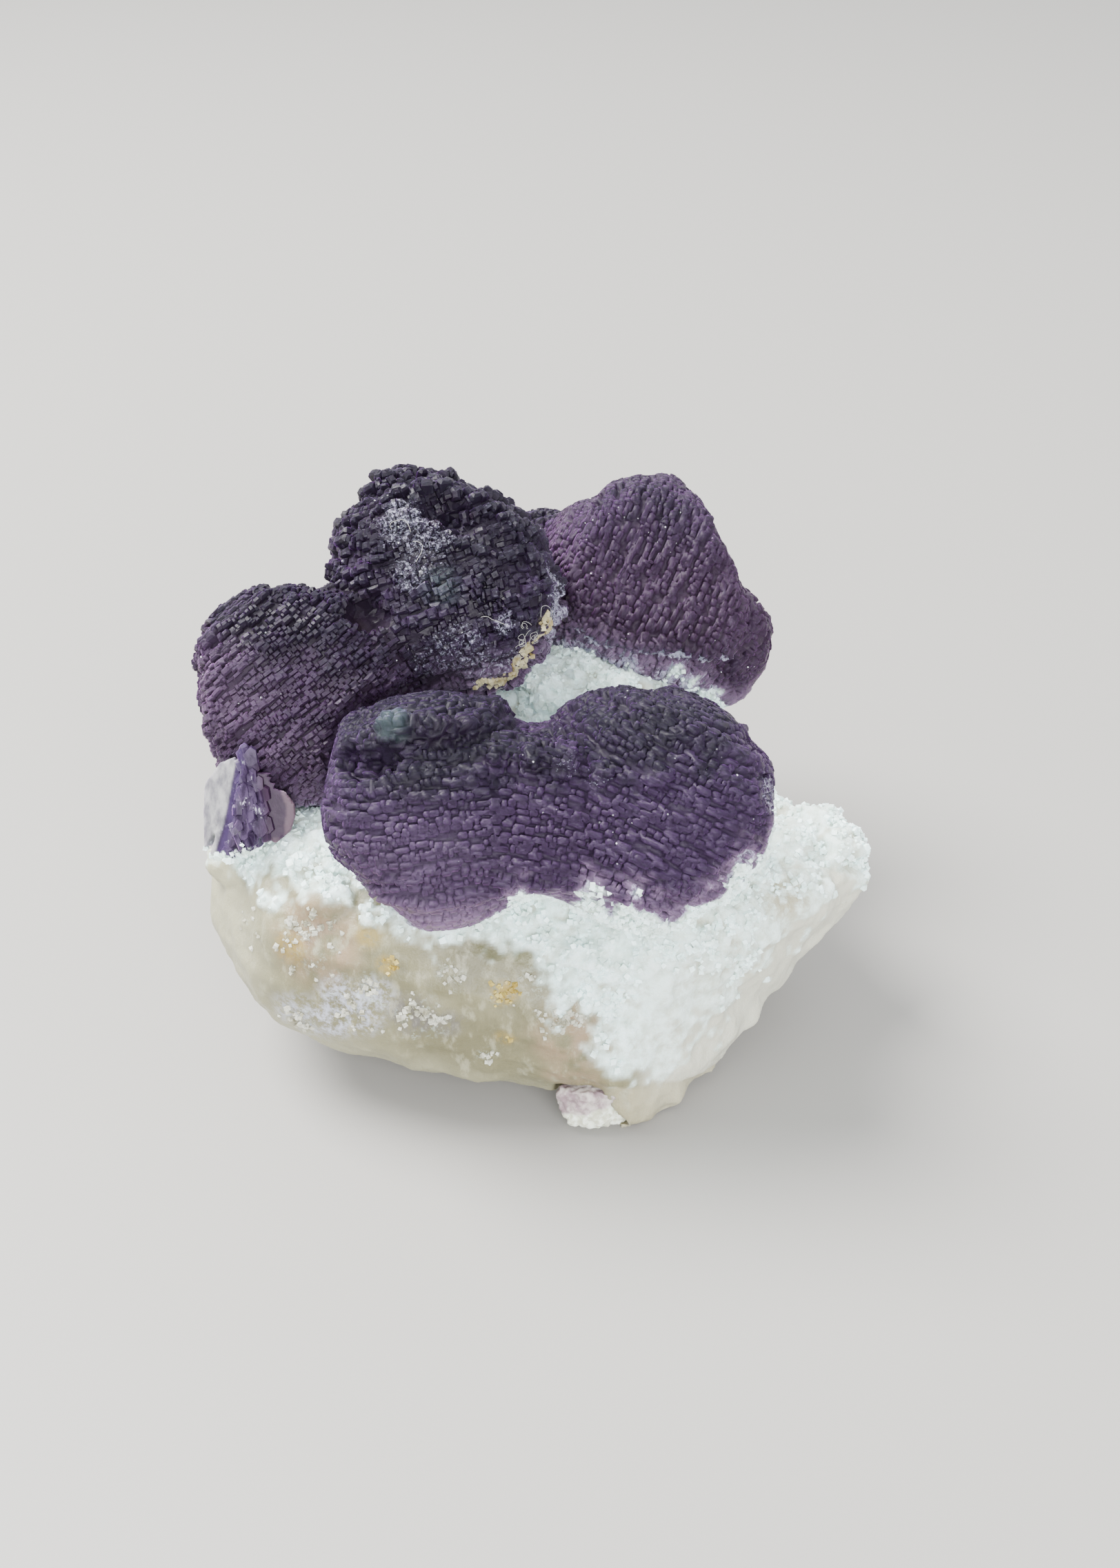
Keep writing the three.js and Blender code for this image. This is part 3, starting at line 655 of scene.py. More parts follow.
def shade(mesh, skin, balls, found, rng):
    """Marks every vertex and face with how far out it is, which block it is on, and its ball's tint."""
    co = column(mesh.vertices, "co")
    relief, near, up = np.zeros(len(co)), np.zeros(len(co)), np.zeros(len(co))
    for i, spot in enumerate(co):
        spot = Vector(spot)
        hit, normal, _, _ = skin.find_nearest(spot)
        relief[i] = (spot - hit).dot(normal)
        up[i] = normal.z
        touch = quartz_skin.find_nearest(spot, QUARTZ_REACH)
        near[i] = QUARTZ_REACH if touch[0] is None else touch[3]
    local = measured(co)
    away = np.array([np.linalg.norm(co - np.array(b.centre), axis=1) - b.radius for b in balls]) / MM
    share = np.exp(-away / TINT_BLEND)
    share /= share.sum(axis=0)
    lift = np.array([(co[:, 2] - b.centre.z) / b.radius for b in balls])
    # high is a painted sheen: greyer on the upper part of each ball and on faces that look up.
    high = smoothstep(0.3, 0.9, (lift * share).sum(axis=0)) * 0.6 + smoothstep(0.5, 0.95, up) * 0.25
    tint = {name: np.array([getattr(b, name) for b in balls]) @ share for name in ("slate", "wine", "rough")}
    # Where shade is painted: in the hollows, and in a ring round each knob.
    hollow = np.max([blot(local, spot, radius) for spot, radius, _ in HOLLOWS], axis=0)
    for spot, radius, _ in KNOBS:
        around = np.linalg.norm(local - np.array(spot), axis=1) / radius
        hollow = np.maximum(hollow, 0.7 * smoothstep(0.7, 0.9, around) * (1 - smoothstep(0.95, 1.2, around)))
    mark(mesh, "relief", smoothstep(-0.4 * MM, 0.05 * MM, relief) * (1 - 0.8 * hollow))
    mark(mesh, "slate", np.clip(tint["slate"] + high * (1 - 0.45 * tint["wine"]), 0, 1))
    mark(mesh, "wine", np.maximum(tint["wine"] * (1 - 0.5 * high), 0.6 * hollow * (local[:, 1] > -5)))
    mark(mesh, "hollow", hollow)
    mark(mesh, "rough", np.clip(tint["rough"], 0, 1))
    low = smoothstep(-0.05, 0.6, -(lift * share).sum(axis=0))
    reach = CREEP_LEAST + heaped(local, CREEP)
    creep = reach * (1 + 1.7 * cloud(co, 1.3) + 1.1 * cloud(co, 0.5)) - near / MM
    line = line_at(CREEP_LINE, local[:, 0]) + 2.4 * cloud(co, 1.6) + 2.0 * cloud(co, 0.6)
    creep = np.maximum(creep, np.where(local[:, 1] < -7, line - local[:, 2], -9))
    mark(mesh, "creep", smoothstep(0.0, 0.3, creep))
    # foot is painted light: lighter near the quartz, low on each ball, where the quartz creeps and on the
    # listed faces.
    near = 1 - smoothstep(0.4 * MM, 3.6 * MM, near)
    pale = patches(local, PAINTED_LIGHT_FACES)
    mark(mesh, "foot", 0.8 * np.max([near, low, smoothstep(-2.4, 0.0, creep), pale], axis=0))
    frost = smoothstep(-1.5, 0.1, creep) * 0.85
    fringe = 1 - smoothstep(0.15, 0.6, off_path(local, RIGHT_LEDGE) + 0.5 * cloud(co, 0.8))
    # Frost, and painted highlight from the patches that light the low side of the middle ball.
    mark(mesh, "frost", np.max([frost, 0.9 * fringe, patches(local, FROST_AND_HIGHLIGHT_PATCHES)], axis=0))
    mark(mesh, "green", patches(local, GREEN_PATCHES))
    nearest = share.argmax(axis=0)
    rows = np.zeros_like(co)
    for i, ball in enumerate(balls):
        side = ball.axis.orthogonal().normalized()
        away = (co - np.array(ball.centre)) / ball.radius
        away /= np.linalg.norm(away, axis=1)[:, None]
        polar = np.arccos(np.clip(away @ np.array(ball.axis), -1, 1))
        places = np.stack([away @ np.array(side), away @ np.array(ball.axis.cross(side)), polar], axis=1)
        rows[nearest == i] = (places * ball.radius + 0.1 * i)[nearest == i]
    mark(mesh, "rows", rows)
    blocks = KDTree(len(found))
    for i, step in enumerate(found):
        blocks.insert(step[0], i)
    blocks.balance()
    tones = [rng.random() for _ in found]
    centres = column(mesh.polygons, "center")
    normals = column(mesh.polygons, "normal")
    tone, top = np.zeros(len(centres)), np.zeros(len(centres))
    for i, (spot, facing) in enumerate(zip(centres, normals)):
        tone[i] = tones[blocks.find(Vector(spot - facing * IN_BLOCK * MM))[1]]
        top[i] = Vector(facing).dot(skin.find_nearest(Vector(spot))[1])
    mark(mesh, "tone", tone, "FACE")
    mark(mesh, "top", smoothstep(0.25, 0.9, top), "FACE")


# How far the sugary quartz creeps up the balls: at the least, and more near these spots.
CREEP_LEAST = 0.35
CREEP = [
    ((12.9, -10.2, 20.0), 2.4, 1.0), ((5.1, 8.2, 22.4), 2.0, 0.3), ((8.4, 8.2, 20.6), 2.0, 0.6),
    ((10.5, 9.2, 18.6), 2.6, 1.0), ((11.8, 10.6, 16.0), 3.0, 1.6), ((-0.5, 5.4, 21.5), 2.5, 0.8),
]
# The height up to which it creeps on the front of the front pair: how far right, and how high.
CREEP_LINE = [
    (-15.5, 19.5), (-13.0, 17.0), (-11.0, 16.0), (-8.5, 15.0), (-5.0, 15.2), (-3.4, 17.4), (-2.3, 20.2),
    (-1.2, 18.8), (0.3, 18.4), (1.5, 20.4), (3.0, 18.6), (4.2, 20.4), (6.0, 18.8), (7.5, 19.8), (9.0, 19.2),
    (10.4, 20.8), (12.0, 20.2), (13.4, 21.4),
]
# Frosted patches, some of them a painted highlight, faces lightened with painted light, and greenish patches:
# where, how wide and how much.
FROST_AND_HIGHLIGHT_PATCHES = [
    ((-0.1, 6.3, 26.4), 3.2, 0.68), ((-0.3, 5.6, 29.0), 2.6, 0.64), ((0.2, 6.5, 24.6), 2.2, 0.66),
    ((12.4, -11.0, 23.8), 2.6, 0.56), ((12.9, -10.2, 21.6), 2.6, 0.6), ((-3.2, 1.8, 25.6), 1.8, 0.5),
    ((-9.9, 4.2, 34.2), 3.0, 0.56), ((-8.3, 3.6, 33.3), 2.8, 0.52), ((-9.4, 2.5, 31.5), 2.2, 0.52),
    # The patches on the next line light the shaded low side of the middle ball: painted highlight.
    ((-6.2, 0.5, 26.8), 3.8, 0.47), ((-4.7, 1.4, 25.3), 2.8, 0.48), ((-8.4, 0.3, 26.2), 2.2, 0.42),
    ((-3.5, 1.3, 28.5), 1.3, 0.6), ((-7.2, -11.2, 29.0), 1.3, 0.42), ((0.4, -12.2, 27.0), 1.7, 0.42),
    ((2.2, -12.8, 26.4), 1.3, 0.42),
]
PAINTED_LIGHT_FACES = [
    ((-21.0, -2.8, 26.1), 4.5, 0.2), ((-8.5, -14.0, 20.0), 7.5, 0.16), ((-16.8, -5.7, 22.2), 3.6, 0.16),
]
GREEN_PATCHES = [((-9.4, -11.1, 29.1), 1.8, 0.8), ((-7.4, 2.0, 30.7), 1.7, 0.45)]
for number, node in enumerate(CLUSTERS):
    grow_steps(node, 7 + number)
for block in (ledge, worn_ledge):
    bpy.data.objects.remove(block)

# Quartz lump: one solid mass of quartz, sugary and bright white on top and at the right, with a smooth
# milky broken face at the front left, stained here and there, and a greyer undercut layer at its foot.
QUARTZ_VOXEL = 0.235 * MM
QUARTZ_SMOOTHING = 6
SUGAR_WHITE = (0.8, 0.98, 0.96, 1)
# Painted shade in the clefts between the sugary lumps.
CLEFT_SHADE = (0.4, 0.38, 0.27, 1)
MILKY = (0.128, 0.119, 0.058, 1)
MILKY_PALE = (0.185, 0.173, 0.093, 1)
FLESH = (0.24, 0.17, 0.1, 1)
CREAM = (0.33, 0.32, 0.22, 1)
CLEAR_WHITE = (0.5, 0.5, 0.41, 1)
BLUE_WHITE = (0.42, 0.44, 0.53, 1)
SMOKE = (0.08, 0.072, 0.085, 1)
OCHRE = (0.27, 0.19, 0.03, 1)
DRAB = (0.34, 0.31, 0.2, 1)
# The sugary crust ends along this line on the front: how far right, and how high, from left to right.
SUGAR_LINE = [
    (-22.5, 15.4), (-20.6, 15.1), (-17.7, 15.9), (-15.2, 16.4), (-13.1, 16.3), (-11.0, 15.8), (-8.0, 14.7),
    (-5.1, 14.7), (-3.0, 14.2), (-1.8, 13.3), (-0.5, 11.6), (0.8, 10.3), (2.5, 8.0), (4.0, 5.3), (6.5, 5.0),
    (9.3, 6.0), (11.8, 7.4), (13.3, 9.0), (15.1, 10.5), (16.9, 11.5), (21.0, 12.0),
]
# Under this line the foot is set back: how far right, and how high.
UNDERCUT_LINE = [(3.4, 4.5), (4.5, 4.2), (6.5, 3.6), (10.0, 1.7), (12.0, 0.4)]
UNDERCUT = 0.22 * MM
# Where the sugary part is rubbed smooth but still white: where, and how wide.
WORN_FACE = ((7.5, -13.5, 7.5), 6.5)
WORN_EDGE = ((15.0, -7.5, 10.5), 5.0)
# Where white crumbs cling to the smooth face: where, and how wide.
CRUMBLY = [
    ((-15.5, -12.0, 13.6), 3.0), ((-12.5, -13.9, 10.5), 3.2), ((-16.3, -12.7, 7.6), 2.0),
    ((-8.6, -14.9, 9.6), 2.6), ((-3.4, -14.8, 11.9), 1.3), ((-4.6, -15.1, 6.7), 0.9),
    ((0.2, -15.0, 10.6), 2.4), ((-1.0, -14.6, 12.6), 2.0), ((-19.0, -9.0, 12.5), 2.0),
    ((-6.5, -14.6, 13.0), 1.4),
]
# Stains: where, how wide and how strong.
STAINS = {
    "flesh": [((-15.0, -12.5, 13.9), 4.2, 1.0), ((0.9, -15.3, 8.6), 3.8, 0.9), ((0.8, -15.2, 5.0), 2.6, 0.8)],
    "blue": [
        ((-13.0, -13.9, 9.9), 3.0, 0.9), ((-16.3, -12.7, 7.8), 2.8, 0.7), ((-14.4, -13.4, 8.5), 2.2, 0.9),
        ((-11.2, -14.2, 11.2), 1.8, 0.7),
    ],
    "smoke": [((-9.0, -14.8, 10.0), 2.2, 1.0), ((-7.0, -15.0, 9.5), 1.6, 0.8)],
    "ochre": [
        ((-3.4, -14.8, 11.8), 1.1, 1.0), ((-10.5, -14.0, 13.4), 0.9, 0.8), ((-16.4, -12.0, 13.0), 1.6, 0.7),
        ((-11.6, -13.1, 15.0), 1.2, 0.6), ((-3.4, -15.2, 8.3), 1.0, 0.5),
    ],
    "drab": [((5.9, -14.6, 17.0), 3.0, 1.0), ((14.6, -7.0, 13.1), 2.4, 1.0)],
}
# The quartz stands back here, so that the chip at the foot shows: where, how wide, and by how much.
CHIP_FACE = ((1.7, -15.3, 2.6), 3.2)
CHIP_POCKET = 0.6 * MM
SEAM = 1.1 * MM  # quartz this near to fluorite grows up to it
SEAM_SUNK = 0.3  # how far it reaches into the fluorite, in millimetres


def quartz():
    """White quartz: sugary grains, milky and flesh-tinted where it broke, with ochre and smoky flaws."""
    f = Finish("sugary_quartz")
    sugary = f.amount("sugary")
    sugar = f.mix(f.grain(0.9, 5, 0.65).above(0.36, 0.58), SUGAR_SHADE, SUGAR_WHITE)
    # Painted shade in the clefts between the sugary lumps.
    cleft_shade = 1 - (f.amount("height") + 0.5 * MM * (f.grain(0.4, 4) - 0.5)).above(-0.3 * MM, 0.12 * MM)
    sugar = f.mix(cleft_shade * 0.85, sugar, f.mix(f.grain(3.0).above(0.42, 0.58), SUGAR_SHADE, CLEFT_SHADE))
    sugar = f.mix(f.amount("drab") * f.grain(0.7, 4).above(0.4, 0.6), sugar, DRAB)
    streaks = f.grain(0.9, 5, 0.65, f.squeezed((1.0, 1.0, 0.4)))
    milky = f.mix((f.grain(3.2, 4) * 0.6 + streaks * 0.4).above(0.4, 0.6), MILKY, MILKY_PALE)
    milky = f.mix(f.amount("flesh") * f.grain(1.6, 4).above(0.3, 0.6), milky, FLESH)
    milky = f.mix(f.amount("cream"), milky, CREAM)
    milky = f.mix(f.amount("blue") * f.grain(0.6, 5, 0.75).above(0.4, 0.62), milky, BLUE_WHITE)
    milky = f.mix(f.amount("smoke") * streaks.above(0.38, 0.62) * 0.9, milky, SMOKE)
    crumbs = f.grain(0.35, 5, 0.75).above(0.5, 0.6) * f.amount("crumbly") * f.grain(1.2, 3).above(0.4, 0.55)
    milky = f.mix(crumbs * 0.3, milky, SUGAR_SHADE)
    milky = f.mix(streaks.above(0.52, 0.68) * 0.6, milky, CREAM)
    colour = f.mix(sugary, milky, sugar)
    colour = f.mix(f.amount("clear") * (1 - 0.7 * sugary), colour, CLEAR_WHITE)
    colour = f.mix(f.amount("under") * 0.75, colour, DRAB)
    colour = f.mix(f.amount("ochre") * f.grain(0.4, 4).above(0.34, 0.52), colour, OCHRE)
    f.set({
        "Base Color": colour, "Roughness": 0.28 + 0.3 * sugary + 0.25 * f.grain(0.4), "IOR": 1.54,
        "Subsurface Weight": 0.45, "Subsurface Radius": (1.0, 0.9, 0.75),
        "Subsurface Scale": 1.0 * MM,
    })
    f.bump(f.grain(0.18, 5, 0.65) * (0.5 + sugary) + 1.2 * streaks, 0.7, 0.12 * MM)
    return f.material


def sugar_tree():
    """Moves the surface in and out: small lumps where it is sugary, shallow dips where it broke."""
    tree = Nodes("Sugar relief", {
        "Lump Size": "Float", "Lump Height": "Float", "Grain Size": "Float", "Grain Height": "Float",
        "Dip Size": "Float", "Dip Height": "Float", "Undercut": "Float", "Material": "Material",
    })
    given = tree.given
    spot = tree.add("GeometryNodeInputPosition")["Position"]
    normal = tree.add("GeometryNodeInputNormal")["Normal"]
    gritty = tree.field("gritty")

    def relief(size, height, detail):
        values = {"Vector": spot, "Scale": tree.sum("DIVIDE", 1.0, size), "Detail": detail}
        soft = tree.add("ShaderNodeTexNoise", None, values)["Fac"]
        return tree.sum("MULTIPLY", tree.sum("SUBTRACT", soft, 0.5), height)

    values = {"Vector": spot, "Scale": tree.sum("DIVIDE", 1.0, given["Grain Size"])}
    cells = tree.add("ShaderNodeTexVoronoi", {"feature": "SMOOTH_F1"}, values)["Distance"]
    grains = tree.sum("MULTIPLY", tree.sum("SUBTRACT", 0.45, cells), given["Grain Height"])
    lumps = relief(given["Lump Size"], given["Lump Height"], 3.0)
    dips = relief(given["Dip Size"], given["Dip Height"], 4.0)
    sugar = tree.sum("MULTIPLY", tree.sum("ADD", grains, lumps), gritty)
    smooth = tree.sum("MULTIPLY", dips, tree.sum("SUBTRACT", 1.0, gritty))
    under = tree.sum("MULTIPLY", tree.field("under"), given["Undercut"])
    free = tree.sum("SUBTRACT", 1.0, tree.field("seam"))
    height = tree.sum("SUBTRACT", tree.sum("MULTIPLY", tree.sum("ADD", sugar, smooth), free), under)
    kept = {"Geometry": given["Geometry"], "Name": "height", "Value": height}
    kept = tree.add("GeometryNodeStoreNamedAttribute", {"data_type": "FLOAT"}, kept)["Geometry"]
    outwards = {0: normal, "Scale": tree.field("height")}
    offset = tree.add("ShaderNodeVectorMath", {"operation": "SCALE"}, outwards)["Vector"]
    moved = tree.add("GeometryNodeSetPosition", None, {"Geometry": kept, "Offset": offset})
    tree.finish(moved["Geometry"], given["Material"])
    return tree.group


def close_seams(mesh):
    """Grows the quartz up to the fluorite wherever it is near; returns how much each vertex took part."""
    co = column(mesh.vertices, "co")
    drawn = np.zeros(len(co))
    for skin in (*ball_skins.values(), plates_skin):
        for i, spot in enumerate(co):
            hit, normal, _, away = skin.find_nearest(Vector(spot), SEAM)
            if hit is None:
                continue
            share = float(1 - smoothstep(0.5 * SEAM, SEAM, away))
            co[i] += (np.array(hit - normal * SEAM_SUNK * MM) - spot) * share
            drawn[i] = max(drawn[i], share)
    mesh.vertices.foreach_set("co", co.ravel())
    return drawn


def mark_quartz(mesh, seam):
    """Marks every vertex with how sugary it is, and with the stains and tints that it has."""
    co = column(mesh.vertices, "co")
    local = measured(co)
    x, y, z = local.T
    line = line_at(SUGAR_LINE, x)
    behind = smoothstep(-2, 8, y)
    line = line + (8.0 + 6 * cloud(co, 9) - line) * behind
    soft = 1 + 2.2 * smoothstep(-3.0, 1.0, x) * (1 - behind)
    sugary = smoothstep(-0.6, 0.4, (z - line) / soft + 1.6 * cloud(co, 1.9) + 1.4 * cloud(co, 0.7))
    foot = line_at(UNDERCUT_LINE, x)
    under = (1 - smoothstep(-0.2, 0.2, z - foot)) * smoothstep(2.6, 3.6, x) * (1 - smoothstep(-9, -7, y))
    crumbly = [blot(local, spot, radius) for spot, radius in CRUMBLY]
    mark(mesh, "crumbly", np.max(crumbly, axis=0))
    mark(mesh, "seam", seam)
    mark(mesh, "sugary", sugary)
    mark(mesh, "gritty", sugary * (1 - 0.6 * np.maximum(blot(local, *WORN_FACE), blot(local, *WORN_EDGE))))
    mark(mesh, "under", under)
    for name, spots in STAINS.items():
        mark(mesh, name, patches(local, spots))
    pale = [1 - smoothstep(-21.5, -16, x), 0.8 * (1 - smoothstep(0.5, 5, z + 0.3 * x)), smoothstep(4, 9, x)]
    mark(mesh, "cream", np.max(pale, axis=0) * 0.8)
    mark(mesh, "clear", smoothstep(4.5, 8.0, x + 0.5 * z) * smoothstep(3.6, 6.6, x))


quartz_finish = quartz()
lump = fuse(node_copy("quartz_matrix", "quartz_lump"), QUARTZ_VOXEL, QUARTZ_SMOOTHING)
co = column(lump.data.vertices, "co")
co[:, 1] += CHIP_POCKET * blot(measured(co), *CHIP_FACE)
lump.data.vertices.foreach_set("co", co.ravel())
mark_quartz(lump.data, close_seams(lump.data))
relief = lump.modifiers.new("Sugar", "NODES")
relief.node_group = sugar_tree()
socket_on(relief, {
    "Lump Size": 1.3 * MM, "Lump Height": 1.5 * MM, "Grain Size": 0.6 * MM, "Grain Height": 0.55 * MM,
    "Dip Size": 3.4 * MM, "Dip Height": 1.3 * MM, "Undercut": UNDERCUT, "Material": quartz_finish,
})
settle(lump)
co = column(lump.data.vertices, "co")
co[:, 2] = np.maximum(co[:, 2], 0)
lump.data.vertices.foreach_set("co", co.ravel())
for polygon in lump.data.polygons:
    polygon.use_smooth = True
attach(lump, "root")
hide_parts("quartz_matrix")

# Sugar crystals: small grains of white quartz that stand on the sugary crust, and creep up the feet of
# the fluorite balls. Each is a few tenths of a millimetre across.
GRAINS_PER_AREA = 10 / MM ** 2
CRUMBS_PER_AREA = 16 / MM ** 2
FOOT_GRAINS_PER_AREA = 12 / MM ** 2
CRUMB_DULL = (0.25, 0.24, 0.17, 1)
CRUMB_PALE = (0.5, 0.5, 0.42, 1)
SUGAR_SMALLEST = 0.16 * MM
SUGAR_LARGEST = 0.42 * MM


def grain_mesh():
    """One grain: a rough little block with uneven corners."""
    shape = bmesh.new()
    bmesh.ops.create_cube(shape, size=1)
    shape.verts.ensure_lookup_table()
    rng = random.Random(4)
    for corner in shape.verts:
        corner.co *= rng.uniform(0.75, 1.15)
    bmesh.ops.triangulate(shape, faces=shape.faces)
    mesh = bpy.data.meshes.new("grain")
    shape.to_mesh(mesh)
    shape.free()
    return mesh


def scatter_tree():
    """Scatters grains over a surface, thickest where its crumb share is high."""
    tree = Nodes("Scattered grains", {
        "Grain": "Object", "Per Area": "Float", "Smallest": "Float", "Largest": "Float", "Seed": "Int",
        "Material": "Material",
    })
    given = tree.given
    density = tree.sum("MULTIPLY", tree.field("crumbs"), given["Per Area"])
    points = tree.add("GeometryNodeDistributePointsOnFaces", None, {
        "Mesh": given["Geometry"], "Density": density, "Seed": given["Seed"],
    })["Points"]
    turn = {0: (0.0, 0.0, 0.0), 1: (math.tau, math.tau, math.tau), "Seed": given["Seed"]}
    turn = tree.add("FunctionNodeRandomValue", {"data_type": "FLOAT_VECTOR"}, turn)[0]
    size = tree.any(given["Smallest"], given["Largest"], given["Seed"])
    grains = tree.add("GeometryNodeInstanceOnPoints", None, {
        "Points": points, "Scale": size,
        "Rotation": tree.add("FunctionNodeEulerToRotation", None, {"Euler": turn})["Rotation"],
        "Instance": tree.add("GeometryNodeObjectInfo", None, {"Object": given["Grain"]})["Geometry"],
    })["Instances"]
    tree.finish(grains, given["Material"])
    return tree.group


grain = link("grain", grain_mesh())
scattering = scatter_tree()


def scatter(name, host, crumbs, per_area, smallest, largest, seed, material):
    """A piece of many grains on a host's surface, as thick as the share given for each of its vertices."""
    mesh = host.data.copy()
    mark(mesh, "crumbs", crumbs)
    piece = link(name, mesh)
    grains = piece.modifiers.new("Grains", "NODES")
    grains.node_group = scattering
    socket_on(grains, {
        "Grain": grain, "Per Area": per_area, "Smallest": smallest, "Largest": largest, "Seed": seed,
        "Material": material,
    })
    settle(piece)
    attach(piece, "root")


def crumb_finish(name, dark, light):
    """Small crystals in two tints."""
    f = Finish(name)
    f.set({
        "Base Color": f.mix(f.grain(0.9, 4).above(0.35, 0.6), dark, light),
        "Roughness": 0.25 + 0.35 * f.grain(0.5), "IOR": 1.54,
        "Subsurface Weight": 0.25, "Subsurface Radius": (1.0, 0.9, 0.75), "Subsurface Scale": 0.4 * MM,
    })
    f.bump(f.grain(0.1, 3), 0.3, 0.03 * MM)
    return f.material


quartz_grains = crumb_finish("quartz_grains", SUGAR_SHADE, SUGAR_WHITE)
co = column(lump.data.vertices, "co")
local = measured(co)
gritty = column(lump.data.attributes["gritty"].data, "value", 1)
clumps = smoothstep(-0.12, 0.18, cloud(co, 1.3) + 0.5 * cloud(co, 0.6))
seen = smoothstep(2.0, 6.0, local[:, 2])
scatter(
    "sugar_crust", lump, smoothstep(0.4, 1, gritty) * (0.1 + 0.9 * clumps) * seen, GRAINS_PER_AREA,
    SUGAR_SMALLEST, SUGAR_LARGEST, 3, quartz_grains,
)
crumbly = column(lump.data.attributes["crumbly"].data, "value", 1) * smoothstep(1.0, 0.3, gritty)
crumbly *= smoothstep(0.14, 0.28, cloud(co, 1.4) + 0.8 * cloud(co, 0.6))
pale_crumbs = crumb_finish("pale_crumbs", CRUMB_DULL, CRUMB_PALE)
scatter("crumbs_on_face", lump, crumbly, CRUMBS_PER_AREA, 0.1 * MM, 0.36 * MM, 4, pale_crumbs)
for node, piece in stepped.items():
    co = column(piece.data.vertices, "co")
    creep = column(piece.data.attributes["creep"].data, "value", 1)
    name = piece.name.replace("stepped", "sugar_on")
    scatter(name, piece, creep, FOOT_GRAINS_PER_AREA, 0.14 * MM, 0.38 * MM, 5, quartz_grains)

# Broken crystal at the left: cleavage plates of pale violet fluorite that lean on the left ball. The
# outermost is nearly white, a violet seam runs beside it, then come lacy flakes and a smooth brown plate.
PLATES_SPOT = (-19.7, -6.5, 19.9)
PLATES_LEAN = math.radians(22)
# Where one plate gives way to the next: how high, and how far across, from the bottom up.
PALE_EDGE = [(-3.8, -2.2), (-1.2, -1.3), (2.7, -0.35), (4.0, -0.3)]
VIOLET_EDGE = [(-3.8, -1.1), (-2.2, -0.45), (0.5, 0.05), (2.4, 0.2), (4.0, 0.1)]
BROWN_EDGE = [(-3.8, 1.2), (0.0, 1.45), (2.3, 0.95), (4.0, 1.5)]
PLATES_VOXEL = 0.12 * MM
PLATE_DEEP = (0.018, 0.0095, 0.028, 1)
PLATE_VIOLET = (0.053, 0.034, 0.074, 1)
PLATE_VEIN = (0.3, 0.28, 0.36, 1)
VIOLET_SEAM = (0.036, 0.02, 0.068, 1)
OUTER_GREY = (0.12, 0.115, 0.135, 1)
OUTER_WHITE = (0.3, 0.3, 0.3, 1)
BROWN_DEEP = (0.014, 0.0047, 0.0165, 1)
BROWN_LIGHT = (0.032, 0.0128, 0.035, 1)
# Painted highlight on the rim of the brown plate.
BROWN_RIM_HIGHLIGHT = (0.1, 0.062, 0.082, 1)
FLAKE_RIM = (0.5, 0.42, 0.52, 0.38, 0.5, 0.44, 0.48, 0.36, 0.46)
FLAKE_SIZE = 1.15
FLAKE_THICKNESS = 0.34
FLAKE_ROWS = 16
LOWEST_ROW = -3.6
ROW_STEP = 0.48
ACROSS_STEP = 0.42


def flake_rim():
    """The uneven outline of a flake one unit across."""
    turns = [(math.tau * i / len(FLAKE_RIM), r) for i, r in enumerate(FLAKE_RIM)]
    return [(r * math.cos(turn), r * math.sin(turn)) for turn, r in turns]


def plate_measure(co):
    """How far across and how high a place is on the plates, in millimetres."""
    local = measured(co) - np.array(PLATES_SPOT)
    return local[..., 0], local[..., 1] * math.sin(PLATES_LEAN) + local[..., 2] * math.cos(PLATES_LEAN)


def flake_places(skin, rng):
    """Rows of flakes over the middle of the plates, each a little proud of the one on its right."""
    up = Vector((0, math.sin(PLATES_LEAN), math.cos(PLATES_LEAN)))
    out = Vector((0, -math.cos(PLATES_LEAN), math.sin(PLATES_LEAN)))
    found = []
    for row in range(FLAKE_ROWS):
        high = LOWEST_ROW + row * ROW_STEP
        low, far = line_at(VIOLET_EDGE, high) - 0.3, line_at(BROWN_EDGE, high) + 0.2
        for across in np.arange(low, far, ACROSS_STEP):
            spot = place(*PLATES_SPOT) + (up * (high + rng.uniform(-0.2, 0.2)) + out * 4) * MM
            spot.x += across * MM
            hit, normal, _, _ = skin.ray_cast(spot, -out, 8 * MM)
            if hit is None:
                continue
            size = FLAKE_SIZE * rng.uniform(0.55, 1.15) * MM
            facing = (normal + Vector((rng.gauss(0, 0.2), 0, rng.gauss(0, 0.15)))).normalized()
            lift = rng.uniform(-0.12, 0.1) * MM
            found.append((hit + normal * lift, facing, up, (size * 1.3, size, FLAKE_THICKNESS * MM), 1.0))
    return found


